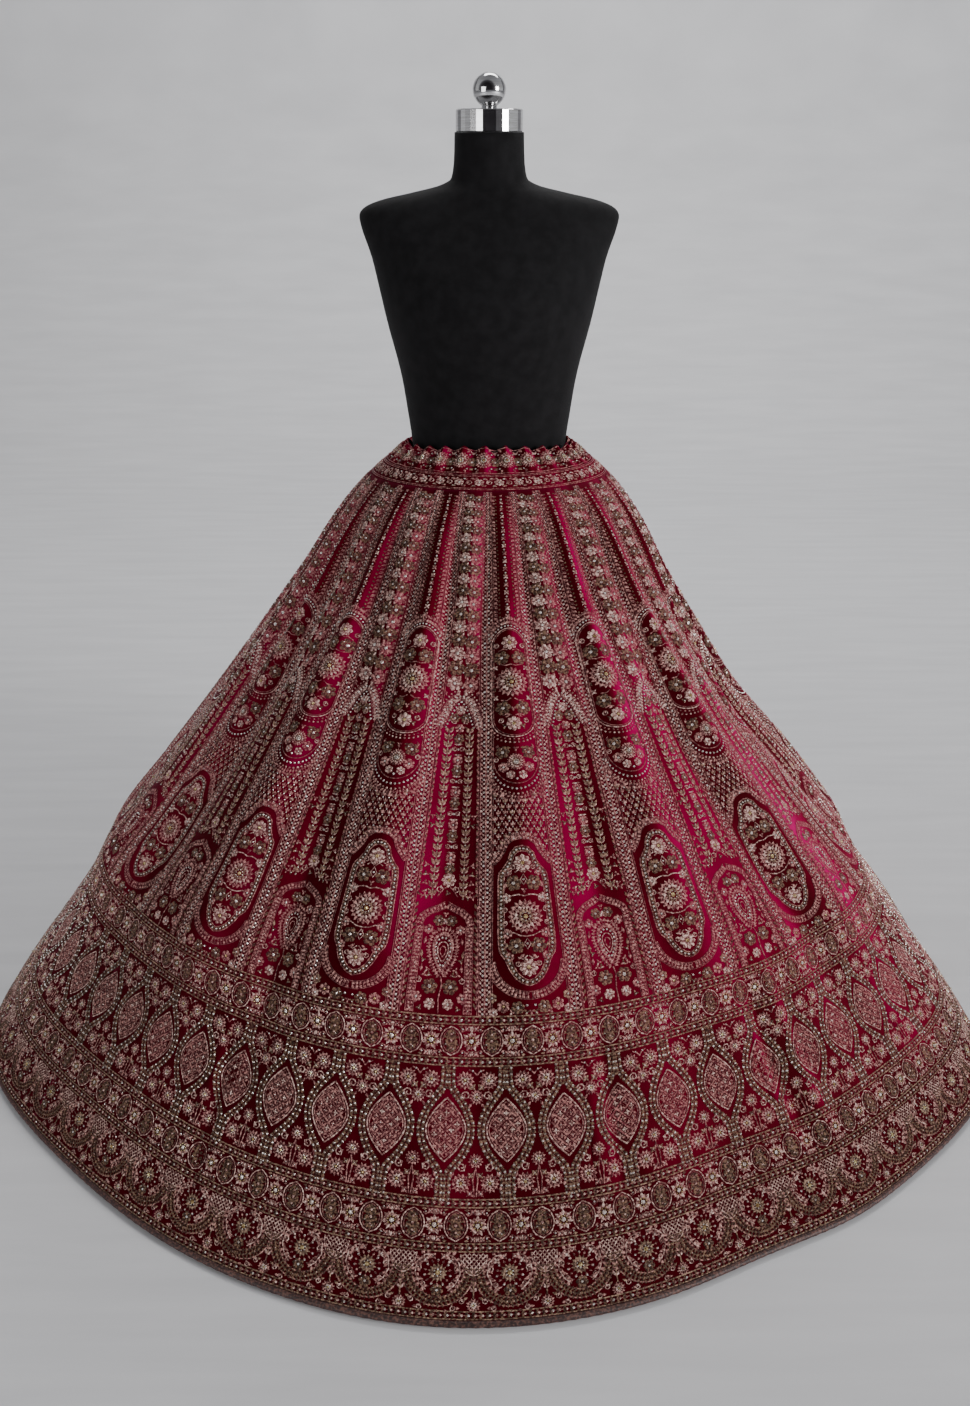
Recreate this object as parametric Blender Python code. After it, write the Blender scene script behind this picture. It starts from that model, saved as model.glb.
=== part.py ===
"""Flared lehenga skirt of sixteen embroidered kalis, standing round a limbless dress form.

Metres, +Z up, the front towards -Y. The origin is the middle of the foot plate's underside, on the floor.
A place on the skirt is an azimuth, 0 in front and growing towards +X, and a slant: the length of cloth
down from the seam between the yoke band and the kalis, so the waist has slants below zero.
"""

from collections import namedtuple
from math import cos, pi, radians, sin

import bpy
import bmesh
import numpy as np

# Cloth sizes
CLOTH_THICKNESS = 0.0022
SEAM_GAP = 0.0003
HEM_SEAM_GAP = 0.0004
CASING_TOP_SLANT = -0.072
CASING_SEAM_SLANT = -0.030
YOKE_SEAM_SLANT = 0.0
HEM_SLANT = 1.110
PIPING_HEIGHT = 0.009
PIPING_THICKNESS = 0.006

# Panels
KALI_COUNT = 16
KALI_COLUMNS = 8
KALI_ROWS = 13
KALI_ANGLE = 2 * pi / KALI_COUNT
CENTRE_COLUMN_AZIMUTH = radians(5.0)
FIRST_SEAM_AZIMUTH = CENTRE_COLUMN_AZIMUTH + KALI_ANGLE / 4

# Gathers: the casing is ruched on its drawstring, and each kali is eased into the yoke in two soft pleats
CASING_GATHERS = 26
GATHER_COLUMNS = 4
CASING_GATHER_DEPTH = 0.0050
CASING_SEAM_GATHER_DEPTH = 0.0010
PLEATS_PER_KALI = 2
PLEAT_DEPTH = 0.0050
PLEAT_FULL_SLANT = 0.14
PLEAT_END_SLANT = 0.62
YOKE_COLUMNS = 64

# Rings of the skirt's outer face, a row from the waist to the hem
Ring = namedtuple("Ring", "slant side_radius front_radius side_height front_height")
RINGS = [
    Ring(-0.072, 0.122, 0.090, 0.930, 0.940),
    Ring(-0.030, 0.156, 0.114, 0.907, 0.905),
    Ring(0.000, 0.179, 0.131, 0.887, 0.885),
    Ring(0.200, 0.296, 0.248, 0.723, 0.725),
    Ring(0.400, 0.414, 0.364, 0.559, 0.560),
    Ring(0.600, 0.538, 0.477, 0.400, 0.394),
    Ring(0.735, 0.624, 0.549, 0.295, 0.277),
    Ring(0.790, 0.648, 0.577, 0.249, 0.227),
    Ring(0.955, 0.739, 0.670, 0.118, 0.089),
    Ring(1.010, 0.769, 0.710, 0.078, 0.051),
    Ring(1.110, 0.815, 0.799, 0.007, 0.007),
]

# Waves of the hem, which grow from the lower border down: a push outwards, centred on an azimuth
HemWave = namedtuple("HemWave", "azimuth half_width push")
HEM_WAVES = [
    HemWave(-4.0, 19.0, 0.026),
    HemWave(-46.0, 15.0, -0.014),
    HemWave(-72.0, 12.0, 0.018),
    HemWave(27.0, 10.0, -0.016),
    HemWave(45.0, 7.0, -0.003),
    HemWave(66.0, 11.0, 0.022),
    HemWave(92.0, 13.0, -0.046),
    HemWave(116.0, 12.0, -0.004),
    HemWave(141.0, 11.0, -0.016),
    HemWave(167.0, 13.0, 0.022),
    HemWave(-166.0, 10.0, -0.018),
    HemWave(-141.0, 12.0, 0.018),
    HemWave(-117.0, 10.0, -0.016),
    HemWave(-97.0, 9.0, -0.010),
]
HEM_WAVE_START_SLANT = 0.45

# Largest folds of the skirt, as ridges and valleys that may lean from their top to their foot
Fold = namedtuple("Fold", "top_azimuth foot_azimuth start_slant end_slant half_width height")
FOLDS = [
    Fold(5.0, 5.0, 0.03, 0.95, 4.5, 0.010),
    Fold(-6.0, -7.0, 0.04, 0.80, 4.0, -0.014),
    Fold(-17.0, -18.0, 0.05, 0.90, 5.0, 0.009),
    Fold(16.0, 17.0, 0.05, 0.78, 3.5, -0.009),
    Fold(27.0, 29.0, 0.04, 0.85, 4.5, 0.009),
    Fold(36.0, 52.0, 0.03, 0.95, 4.0, -0.012),
    Fold(48.0, 60.0, 0.10, 0.90, 4.0, 0.008),
    Fold(-30.0, -29.0, 0.08, 1.05, 3.0, -0.010),
    Fold(-42.0, -42.0, 0.05, 0.95, 5.0, 0.009),
    Fold(-55.0, -60.0, 0.05, 0.90, 4.0, -0.011),
    Fold(-74.0, -76.0, 0.06, 0.85, 5.0, 0.008),
    Fold(76.0, 80.0, 0.05, 0.90, 4.5, -0.010),
    Fold(94.0, 96.0, 0.05, 0.95, 5.0, 0.009),
    Fold(108.0, 106.0, 0.04, 0.80, 4.0, -0.011),
    Fold(124.0, 120.0, 0.05, 0.95, 5.0, 0.009),
    Fold(142.0, 146.0, 0.05, 0.90, 4.0, -0.012),
    Fold(160.0, 162.0, 0.04, 0.85, 5.0, 0.010),
    Fold(178.0, 176.0, 0.05, 0.95, 4.0, -0.011),
    Fold(-160.0, -158.0, 0.05, 0.90, 5.0, 0.009),
    Fold(-146.0, -150.0, 0.04, 0.85, 4.0, -0.012),
    Fold(-128.0, -126.0, 0.05, 0.95, 5.0, 0.009),
    Fold(-108.0, -106.0, 0.05, 0.85, 4.5, -0.010),
    Fold(-92.0, -94.0, 0.08, 0.90, 4.0, 0.007),
    Fold(85.0, 92.0, 0.10, 0.98, 32.0, -0.020),
    Fold(88.0, 92.0, 0.00, 0.62, 34.0, -0.016),
]
FOLD_RAMP_SHARE = 0.38

# Dress form: level cuts of the hips below the skirt's waist, and of the bodice and neck above it;
# between them the form follows the inside of the yoke band and the casing
TorsoCut = namedtuple("TorsoCut", "height half_width half_depth forward")
HIP_CUTS = [
    TorsoCut(0.700, 0.1400, 0.1150, 0.000),
    TorsoCut(0.712, 0.1540, 0.1240, 0.000),
    TorsoCut(0.765, 0.1680, 0.1310, 0.000),
    TorsoCut(0.830, 0.1690, 0.1310, 0.000),
]
BODICE_CUTS = [
    TorsoCut(0.985, 0.1230, 0.0950, 0.002),
    TorsoCut(1.040, 0.1320, 0.1040, 0.005),
    TorsoCut(1.105, 0.1480, 0.1180, 0.010),
    TorsoCut(1.150, 0.1580, 0.1200, 0.010),
    TorsoCut(1.200, 0.1700, 0.1020, 0.004),
    TorsoCut(1.240, 0.1840, 0.0840, -0.002),
    TorsoCut(1.262, 0.1850, 0.0720, -0.004),
    TorsoCut(1.276, 0.1600, 0.0660, -0.005),
    TorsoCut(1.288, 0.1080, 0.0600, -0.005),
    TorsoCut(1.299, 0.0660, 0.0540, -0.004),
    TorsoCut(1.315, 0.0520, 0.0500, -0.001),
    TorsoCut(1.368, 0.0490, 0.0490, 0.000),
]
TORSO_SIDES = 36
REST_GAP = 0.0004
WAIST_RING_SLANTS = (0.0, -0.010, -0.020, -0.030, -0.044, -0.058, -0.072)

# Hardware of the stand
CAP_RADIUS = 0.0475
CAP_HEIGHT = 0.030
CAP_CHAMFER = 0.0012
BALL_RADIUS = 0.0235
BALL_STEM_RADIUS = 0.011
BALL_STEM_HEIGHT = 0.004
BALL_TOP_ANGLE = 0.12
BALL_LEVELS = 10
BALL_SIDES = 24
POLE_SIDES = 20
POLE_RADIUS = 0.0125
FOOT_RADIUS = 0.190
FOOT_HEIGHT = 0.010
FOOT_CHAMFER = 0.003
FOOT_HUB_RADIUS = 0.030
FOOT_HUB_HEIGHT = 0.032
FOOT_HUB_TAPER = 0.8
LATHE_SIDES = 32

# Colours as linear red, green, blue
VELVET_COLOR = (0.150, 0.006, 0.032)
BAND_COLOR = (0.170, 0.030, 0.050)
PIPING_COLOR = (0.110, 0.045, 0.028)
FORM_COLOR = (0.012, 0.011, 0.012)
CHROME_COLOR = (0.780, 0.780, 0.790)
STEEL_COLOR = (0.300, 0.300, 0.310)


def clear_scene():
    for item in list(bpy.data.objects):
        bpy.data.objects.remove(item, do_unlink=True)


def make_material(name, color, roughness, metallic=0.0):
    """A Principled material with one finish."""
    material = bpy.data.materials.new(name)
    material.use_nodes = True
    shader = material.node_tree.nodes["Principled BSDF"]
    shader.inputs["Base Color"].default_value = (*color, 1.0)
    shader.inputs["Roughness"].default_value = roughness
    shader.inputs["Metallic"].default_value = metallic
    material.diffuse_color = (*color, 1.0)
    return material


def smoothstep(low, high, value):
    share = np.clip((value - low) / (high - low), 0.0, 1.0)
    return share * share * (3.0 - 2.0 * share)


def ring_values(slant):
    """Ring sizes at a slant: a smooth cubic through the rows of RINGS."""
    table = np.array(RINGS)
    slants = table[:, 0]
    slopes = np.gradient(table[:, 1:], slants, axis=0)
    row = int(np.clip(np.searchsorted(slants, slant) - 1, 0, len(slants) - 2))
    step = slants[row + 1] - slants[row]
    t = (slant - slants[row]) / step
    start = (1 + 2 * t) * (1 - t) ** 2 * table[row, 1:] + t * (1 - t) ** 2 * step * slopes[row]
    end = t * t * (3 - 2 * t) * table[row + 1, 1:] + t * t * (t - 1) * step * slopes[row + 1]
    return start + end


def turn_between(azimuth, centre):
    """Signed turn from a centre in degrees to an azimuth in radians, in degrees."""
    return (np.degrees(azimuth) - centre + 180.0) % 360.0 - 180.0


def hem_push(azimuth):
    return sum(wave.push * np.exp(-(turn_between(azimuth, wave.azimuth) / wave.half_width) ** 2)
               for wave in HEM_WAVES)


def base_point(azimuth, slant):
    """Point of the skirt's outer face before its folds and gathers."""
    side_radius, front_radius, side_height, front_height = ring_values(slant)
    push = hem_push(azimuth) * smoothstep(HEM_WAVE_START_SLANT, HEM_SLANT, slant)
    side = sin(azimuth) ** 2
    return np.array([
        (side_radius + push) * sin(azimuth),
        -(front_radius + push) * cos(azimuth),
        front_height + (side_height - front_height) * side,
    ])


def base_frame(azimuth, slant):
    """Point and outward normal of the skirt before its folds."""
    turn = 0.01
    step = 0.002
    across = base_point(azimuth + turn, slant) - base_point(azimuth - turn, slant)
    low_slant = min(slant + step, HEM_SLANT)
    high_slant = max(slant - step, CASING_TOP_SLANT)
    down = base_point(azimuth, low_slant) - base_point(azimuth, high_slant)
    normal = np.cross(down, across)
    return base_point(azimuth, slant), normal / np.linalg.norm(normal)


def fold_height(azimuth, slant):
    """Height of the large folds above the plain skirt."""
    height = 0.0
    for fold in FOLDS:
        length = fold.end_slant - fold.start_slant
        ramp = FOLD_RAMP_SHARE * length
        rise = smoothstep(fold.start_slant, fold.start_slant + ramp, slant)
        fall = 1.0 - smoothstep(fold.end_slant - ramp, fold.end_slant, slant)
        lean = np.clip((slant - fold.start_slant) / length, 0.0, 1.0)
        centre = fold.top_azimuth + (fold.foot_azimuth - fold.top_azimuth) * lean
        height += fold.height * rise * fall * np.exp(-(turn_between(azimuth, centre) / fold.half_width) ** 2)
    return height


def pleat_height(azimuth, slant):
    """Height of the soft pleats that ease the kalis into the yoke; none at the yoke seam."""
    depth = PLEAT_DEPTH * smoothstep(YOKE_SEAM_SLANT, PLEAT_FULL_SLANT, slant)
    depth *= 1.0 - smoothstep(PLEAT_FULL_SLANT, PLEAT_END_SLANT, slant)
    return depth * cos(PLEATS_PER_KALI * KALI_COUNT * (azimuth - CENTRE_COLUMN_AZIMUTH))


def gather_height(azimuth, slant):
    """Height of the ruching of the casing, deepest at its top edge."""
    share = smoothstep(CASING_SEAM_SLANT, CASING_TOP_SLANT, slant)
    depth = CASING_SEAM_GATHER_DEPTH + (CASING_GATHER_DEPTH - CASING_SEAM_GATHER_DEPTH) * share
    return depth * cos(CASING_GATHERS * (azimuth - FIRST_SEAM_AZIMUTH))


def plain_height(azimuth, slant):
    return 0.0


def skirt_height(azimuth, slant):
    return fold_height(azimuth, slant) + pleat_height(azimuth, slant)


def wall_points(azimuth, slant, height):
    """Outer and inner point of the cloth wall at a place."""
    point, normal = base_frame(azimuth, slant)
    outer = point + normal * height(azimuth, slant)
    return outer, outer - normal * CLOTH_THICKNESS


def seam_turn(slant):
    """Half a seam gap, as an angle at a slant."""
    side_radius, front_radius, _, _ = ring_values(slant)
    return SEAM_GAP / (side_radius + front_radius)


def make_object(name, vertices, faces, material):
    """One object from points and faces, with its faces turned outwards."""
    mesh = bpy.data.meshes.new(name)
    mesh.from_pydata([tuple(point) for point in vertices], [], faces)
    shell = bmesh.new()
    shell.from_mesh(mesh)
    bmesh.ops.triangulate(shell, faces=shell.faces[:], quad_method="FIXED")
    bmesh.ops.recalc_face_normals(shell, faces=shell.faces[:])
    shell.to_mesh(mesh)
    shell.free()
    mesh.shade_smooth()
    mesh.set_sharp_from_angle(angle=radians(40.0))
    mesh.materials.append(material)
    item = bpy.data.objects.new(name, mesh)
    bpy.context.scene.collection.objects.link(item)
    return item


def make_wall(name, grid, closed, material):
    """A cloth wall from a grid of (outer, inner) point pairs, rows down and columns across.

    A closed wall runs all round; an open one gets a cut face at its first and last column."""
    rows = len(grid)
    columns = len(grid[0])
    vertices = []
    for row in grid:
        for outer, inner in row:
            vertices.extend((outer, inner))

    def corner(row, column, side):
        return 2 * (row * columns + column % columns) + side

    faces = []
    spans = columns if closed else columns - 1
    for column in range(spans):
        after = column + 1
        for row in range(rows - 1):
            below = row + 1
            faces.append([corner(row, column, 0), corner(below, column, 0),
                          corner(below, after, 0), corner(row, after, 0)])
            faces.append([corner(row, column, 1), corner(row, after, 1),
                          corner(below, after, 1), corner(below, column, 1)])
        for row in (0, rows - 1):
            faces.append([corner(row, column, 0), corner(row, after, 0),
                          corner(row, after, 1), corner(row, column, 1)])
    if not closed:
        for column in (0, columns - 1):
            for row in range(rows - 1):
                faces.append([corner(row, column, 0), corner(row, column, 1),
                              corner(row + 1, column, 1), corner(row + 1, column, 0)])
    return make_object(name, vertices, faces, material)


def kali_slants():
    """Slants of a kali's rows: from the yoke seam to the top of the piping."""
    top = YOKE_SEAM_SLANT + SEAM_GAP / 2
    foot = HEM_SLANT - PIPING_HEIGHT - HEM_SEAM_GAP
    return np.linspace(top, foot, KALI_ROWS)


def build_kali(number, material):
    """One flared gore, between two seams that run straight down the skirt."""
    left = FIRST_SEAM_AZIMUTH + (number - 1) * KALI_ANGLE
    grid = []
    for slant in kali_slants():
        inset = seam_turn(slant)
        azimuths = np.linspace(left, left + KALI_ANGLE, KALI_COLUMNS + 1)
        azimuths[0] += inset
        azimuths[-1] -= inset
        grid.append([wall_points(azimuth, slant, skirt_height) for azimuth in azimuths])
    return make_wall(f"kali_{number:02d}", grid, False, material)


def build_band(name, top_slant, foot_slant, rows, columns, height, material):
    """A band that runs all round the waist, half a seam gap inside its two seams."""
    slants = np.linspace(top_slant + SEAM_GAP / 2, foot_slant - SEAM_GAP / 2, rows)
    azimuths = FIRST_SEAM_AZIMUTH + np.arange(columns) * 2 * pi / columns
    grid = [[wall_points(azimuth, slant, height) for azimuth in azimuths] for slant in slants]
    return make_wall(name, grid, True, material)


def build_piping(material):
    """Corded edge along the whole hem, with an oval cut."""
    columns = KALI_COUNT * KALI_COLUMNS
    cut_sides = 6
    vertices = []
    for column in range(columns):
        azimuth = FIRST_SEAM_AZIMUTH + column * 2 * pi / columns
        top, normal = base_frame(azimuth, HEM_SLANT - PIPING_HEIGHT)
        foot = base_point(azimuth, HEM_SLANT)
        centre = (top + foot) / 2 - normal * CLOTH_THICKNESS / 2
        reach = (foot - top) / 2
        for side in range(cut_sides):
            turn = 2 * pi * side / cut_sides
            vertices.append(centre + reach * cos(turn) + normal * PIPING_THICKNESS / 2 * sin(turn))
    faces = []
    for column in range(columns):
        here = column * cut_sides
        there = (column + 1) % columns * cut_sides
        for side in range(cut_sides):
            after = (side + 1) % cut_sides
            faces.append([here + side, there + side, there + after, here + after])
    return make_object("hem_piping", vertices, faces, material)


def stack_rings(name, rings, material):
    """A closed body through rings of equal count, with a flat cap at both ends."""
    sides = len(rings[0])
    vertices = [point for ring in rings for point in ring]
    faces = [list(range(sides)), list(range(len(vertices) - sides, len(vertices)))]
    for level in range(len(rings) - 1):
        for side in range(sides):
            after = (side + 1) % sides
            low = level * sides
            faces.append([low + side, low + after, low + sides + after, low + sides + side])
    return make_object(name, vertices, faces, material)


def oval(half_width, half_depth, forward, height, sides):
    turns = np.arange(sides) * 2 * pi / sides
    return [(half_width * sin(turn), -forward - half_depth * cos(turn), height) for turn in turns]


def cut_ring(cut):
    return oval(cut.half_width, cut.half_depth, cut.forward, cut.height, TORSO_SIDES)


def waist_ring(slant):
    """Ring of the form that just clears the inner crests of the casing and the yoke band."""
    depth = gather_height(FIRST_SEAM_AZIMUTH, min(slant, CASING_SEAM_SLANT))
    inset = CLOTH_THICKNESS + depth + REST_GAP
    ring = []
    for azimuth in np.arange(TORSO_SIDES) * 2 * pi / TORSO_SIDES:
        point, normal = base_frame(azimuth, slant)
        ring.append(point - normal * inset)
    return ring


def build_torso(material):
    hips = [cut_ring(cut) for cut in HIP_CUTS]
    waist = [waist_ring(slant) for slant in WAIST_RING_SLANTS]
    bodice = [cut_ring(cut) for cut in BODICE_CUTS]
    return stack_rings("form_torso", hips + waist + bodice, material)


def build_turned(name, profile, material, sides=LATHE_SIDES):
    """A turned body from (radius, height) points, foot first."""
    rings = [oval(radius, radius, 0.0, height, sides) for radius, height in profile]
    return stack_rings(name, rings, material)


def cap_profile(foot):
    """Straight cap with a flat top, on the neck."""
    top = foot + CAP_HEIGHT
    return [
        (CAP_RADIUS - CAP_CHAMFER, foot),
        (CAP_RADIUS, foot + CAP_CHAMFER),
        (CAP_RADIUS, top - CAP_CHAMFER),
        (CAP_RADIUS - CAP_CHAMFER, top),
    ]


def ball_profile(foot):
    """Ball on a short stem."""
    stem_angle = np.arcsin(BALL_STEM_RADIUS / BALL_RADIUS)
    centre = foot + BALL_STEM_HEIGHT + BALL_RADIUS * cos(stem_angle)
    angles = np.linspace(pi - stem_angle, BALL_TOP_ANGLE, BALL_LEVELS)
    turned = [(BALL_RADIUS * sin(angle), centre + BALL_RADIUS * cos(angle)) for angle in angles]
    return [(BALL_STEM_RADIUS, foot)] + turned


def build_stand(steel, chrome):
    """Foot plate with its hub, pole, neck cap and ball, from the floor up."""
    build_turned("stand_base", [
        (FOOT_RADIUS, 0.0),
        (FOOT_RADIUS, FOOT_HEIGHT - FOOT_CHAMFER),
        (FOOT_RADIUS - FOOT_CHAMFER, FOOT_HEIGHT),
        (FOOT_HUB_RADIUS, FOOT_HEIGHT),
        (FOOT_HUB_RADIUS * FOOT_HUB_TAPER, FOOT_HUB_HEIGHT),
    ], steel)
    build_turned("stand_pole", [
        (POLE_RADIUS, FOOT_HUB_HEIGHT + SEAM_GAP),
        (POLE_RADIUS, HIP_CUTS[0].height - SEAM_GAP),
    ], steel, sides=POLE_SIDES)
    cap_foot = BODICE_CUTS[-1].height + SEAM_GAP
    build_turned("neck_cap", cap_profile(cap_foot), chrome)
    build_turned("neck_ball", ball_profile(cap_foot + CAP_HEIGHT + SEAM_GAP), chrome, sides=BALL_SIDES)


def main():
    clear_scene()
    velvet = make_material("velvet", VELVET_COLOR, 0.75)
    band = make_material("band_velvet", BAND_COLOR, 0.70)
    cord = make_material("piping_cord", PIPING_COLOR, 0.60)
    form = make_material("form_fabric", FORM_COLOR, 0.85)
    chrome = make_material("chrome", CHROME_COLOR, 0.15, metallic=1.0)
    steel = make_material("steel", STEEL_COLOR, 0.35, metallic=1.0)
    for number in range(1, KALI_COUNT + 1):
        build_kali(number, velvet)
    build_band("yoke_band", CASING_SEAM_SLANT, YOKE_SEAM_SLANT, 3, YOKE_COLUMNS, plain_height, band)
    build_band("waist_casing", CASING_TOP_SLANT, CASING_SEAM_SLANT, 4, CASING_GATHERS * GATHER_COLUMNS,
               gather_height, band)
    build_piping(cord)
    build_torso(form)
    build_stand(steel, chrome)


main()
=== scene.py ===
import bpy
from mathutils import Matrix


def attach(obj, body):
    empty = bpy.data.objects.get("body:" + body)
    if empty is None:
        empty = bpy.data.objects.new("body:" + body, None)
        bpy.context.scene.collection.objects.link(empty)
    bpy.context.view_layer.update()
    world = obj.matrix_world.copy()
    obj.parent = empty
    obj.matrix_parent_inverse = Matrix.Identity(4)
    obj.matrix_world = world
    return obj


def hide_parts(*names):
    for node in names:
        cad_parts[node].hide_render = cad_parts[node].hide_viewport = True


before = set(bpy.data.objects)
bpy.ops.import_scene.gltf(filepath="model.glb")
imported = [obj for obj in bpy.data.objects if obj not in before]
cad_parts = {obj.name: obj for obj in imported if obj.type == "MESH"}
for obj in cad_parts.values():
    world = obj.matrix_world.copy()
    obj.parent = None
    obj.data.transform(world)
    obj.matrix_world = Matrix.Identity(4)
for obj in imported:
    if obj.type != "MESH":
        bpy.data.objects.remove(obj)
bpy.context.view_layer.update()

from collections import namedtuple
from math import cos, degrees, hypot, pi, radians, sin

import bpy
import numpy as np
from mathutils import Vector

# A place on the skirt is an azimuth, 0 in front and growing towards +X, and a slant: the length of cloth
# down from the yoke seam. Embroidery is drawn flat, in degrees across and metres down, and then laid on.

# Photograph's view
CAMERA_PLACE = (-0.006, -2.20, 1.361)
CAMERA_PITCH_DOWN = 21.27
CAMERA_LENS = 37.2

# Cloth sizes, as in the solids
KALI_COUNT = 16
KALI_DEGREES = 360.0 / KALI_COUNT
CENTRE_COLUMN = 5.0
FIRST_SEAM = CENTRE_COLUMN + KALI_DEGREES / 4
CLOTH_THICKNESS = 0.0022
SEAM_GAP = 0.0003
CASING_TOP = -0.072
CASING_SEAM = -0.030
HEM = 1.110
PIPING_HEIGHT = 0.009
PIPING_THICKNESS = 0.006
HEM_WAVE_START = 0.45
CASING_GATHERS = 26
CASING_GATHER_DEPTH = 0.0050
CASING_SEAM_GATHER_DEPTH = 0.0010
CASING_EDGE_DIP = 0.0050
PLEATS_ROUND = 32
PLEAT_DEPTH = 0.0050
PLEAT_FULL = 0.14
PLEAT_END = 0.62

# Rings: slant, side radius, front radius, side height, front height
RINGS = np.array([
    (-0.072, 0.122, 0.090, 0.930, 0.940),
    (-0.030, 0.156, 0.114, 0.907, 0.905),
    (0.000, 0.179, 0.131, 0.887, 0.885),
    (0.200, 0.296, 0.248, 0.723, 0.725),
    (0.400, 0.414, 0.364, 0.559, 0.560),
    (0.600, 0.538, 0.477, 0.400, 0.394),
    (0.735, 0.624, 0.549, 0.295, 0.277),
    (0.790, 0.648, 0.577, 0.249, 0.227),
    (0.955, 0.739, 0.670, 0.118, 0.089),
    (1.010, 0.769, 0.710, 0.078, 0.051),
    (1.110, 0.815, 0.799, 0.007, 0.007),
])

# Hem waves: azimuth, half width in degrees, push outwards
HEM_WAVES = [
    (-4.0, 19.0, 0.026), (-46.0, 15.0, -0.014), (-72.0, 12.0, 0.018), (27.0, 10.0, -0.016),
    (45.0, 7.0, -0.003), (66.0, 11.0, 0.022), (92.0, 13.0, -0.046), (116.0, 12.0, -0.004),
    (141.0, 11.0, -0.016), (167.0, 13.0, 0.022), (-166.0, 10.0, -0.018), (-141.0, 12.0, 0.018),
    (-117.0, 10.0, -0.016), (-97.0, 9.0, -0.010),
]

# Folds: azimuth at the top and at the foot, first and last slant, half width in degrees, height
Fold = namedtuple("Fold", "top foot start end half_width height")
LARGE_FOLDS = [
    Fold(5.0, 5.0, 0.03, 0.95, 4.5, 0.010), Fold(-6.0, -7.0, 0.04, 0.80, 4.0, -0.014),
    Fold(-17.0, -18.0, 0.05, 0.90, 5.0, 0.009), Fold(16.0, 17.0, 0.05, 0.78, 3.5, -0.009),
    Fold(27.0, 29.0, 0.04, 0.85, 4.5, 0.009), Fold(36.0, 52.0, 0.03, 0.95, 4.0, -0.012),
    Fold(48.0, 60.0, 0.10, 0.90, 4.0, 0.008), Fold(-30.0, -29.0, 0.08, 1.05, 3.0, -0.010),
    Fold(-42.0, -42.0, 0.05, 0.95, 5.0, 0.009), Fold(-55.0, -60.0, 0.05, 0.90, 4.0, -0.011),
    Fold(-74.0, -76.0, 0.06, 0.85, 5.0, 0.008), Fold(76.0, 80.0, 0.05, 0.90, 4.5, -0.010),
    Fold(94.0, 96.0, 0.05, 0.95, 5.0, 0.009), Fold(108.0, 106.0, 0.04, 0.80, 4.0, -0.011),
    Fold(124.0, 120.0, 0.05, 0.95, 5.0, 0.009), Fold(142.0, 146.0, 0.05, 0.90, 4.0, -0.012),
    Fold(160.0, 162.0, 0.04, 0.85, 5.0, 0.010), Fold(178.0, 176.0, 0.05, 0.95, 4.0, -0.011),
    Fold(-160.0, -158.0, 0.05, 0.90, 5.0, 0.009), Fold(-146.0, -150.0, 0.04, 0.85, 4.0, -0.012),
    Fold(-128.0, -126.0, 0.05, 0.95, 5.0, 0.009), Fold(-108.0, -106.0, 0.05, 0.85, 4.5, -0.010),
    Fold(-92.0, -94.0, 0.08, 0.90, 4.0, 0.007), Fold(85.0, 92.0, 0.10, 0.98, 32.0, -0.020),
    Fold(88.0, 92.0, 0.00, 0.62, 34.0, -0.016),
]
# Finer creases that only the shell has: troughs from the gathers, and hand marks near the border
FINE_FOLDS = [
    Fold(11.0, 12.0, 0.00, 0.34, 1.3, -0.0035), Fold(21.0, 23.0, 0.00, 0.42, 1.4, -0.0040),
    Fold(31.0, 34.0, 0.01, 0.30, 1.2, -0.0030), Fold(43.0, 47.0, 0.00, 0.46, 1.5, -0.0040),
    Fold(58.0, 66.0, 0.01, 0.40, 1.6, -0.0035), Fold(-1.5, -2.0, 0.00, 0.30, 1.1, -0.0030),
    Fold(-12.0, -12.5, 0.00, 0.38, 1.3, -0.0040), Fold(-24.0, -25.0, 0.01, 0.44, 1.4, -0.0035),
    Fold(-36.0, -37.0, 0.00, 0.36, 1.4, -0.0040), Fold(-49.0, -51.0, 0.01, 0.42, 1.5, -0.0035),
    Fold(-66.0, -68.0, 0.00, 0.34, 1.6, -0.0040), Fold(-84.0, -86.0, 0.00, 0.40, 1.6, -0.0035),
    Fold(34.0, 36.5, 0.70, 1.06, 1.1, -0.0050), Fold(37.5, 39.0, 0.66, 1.08, 1.2, 0.0035),
    Fold(-33.0, -31.0, 0.72, 1.09, 1.0, -0.0045), Fold(13.0, 14.0, 0.72, 1.02, 1.1, -0.0035),
    Fold(70.0, 71.0, 0.00, 0.38, 1.6, -0.0035), Fold(88.0, 90.0, 0.00, 0.42, 1.7, -0.0040),
    Fold(101.0, 102.0, 0.00, 0.36, 1.6, -0.0035), Fold(116.0, 115.0, 0.00, 0.44, 1.5, -0.0040),
    Fold(131.0, 130.0, 0.01, 0.34, 1.5, -0.0035), Fold(150.0, 152.0, 0.00, 0.40, 1.4, -0.0040),
    Fold(169.0, 170.0, 0.00, 0.36, 1.4, -0.0035), Fold(-171.0, -170.0, 0.01, 0.42, 1.4, -0.0040),
    Fold(-153.0, -152.0, 0.00, 0.38, 1.5, -0.0035), Fold(-137.0, -136.0, 0.00, 0.44, 1.5, -0.0040),
    Fold(-119.0, -120.0, 0.01, 0.34, 1.5, -0.0035), Fold(-100.0, -101.0, 0.00, 0.40, 1.6, -0.0040),
    Fold(122.0, 124.0, 0.70, 1.06, 1.2, -0.0045), Fold(-150.0, -148.0, 0.72, 1.08, 1.2, -0.0045),
    Fold(171.0, 173.0, 0.74, 1.05, 1.1, -0.0035), Fold(-88.0, -86.0, 0.70, 1.06, 1.2, -0.0040),
]
FOLD_RAMP_SHARE = 0.38


def smoothstep(low, high, value):
    share = np.clip((value - low) / (high - low), 0.0, 1.0)
    return share * share * (3.0 - 2.0 * share)


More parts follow.
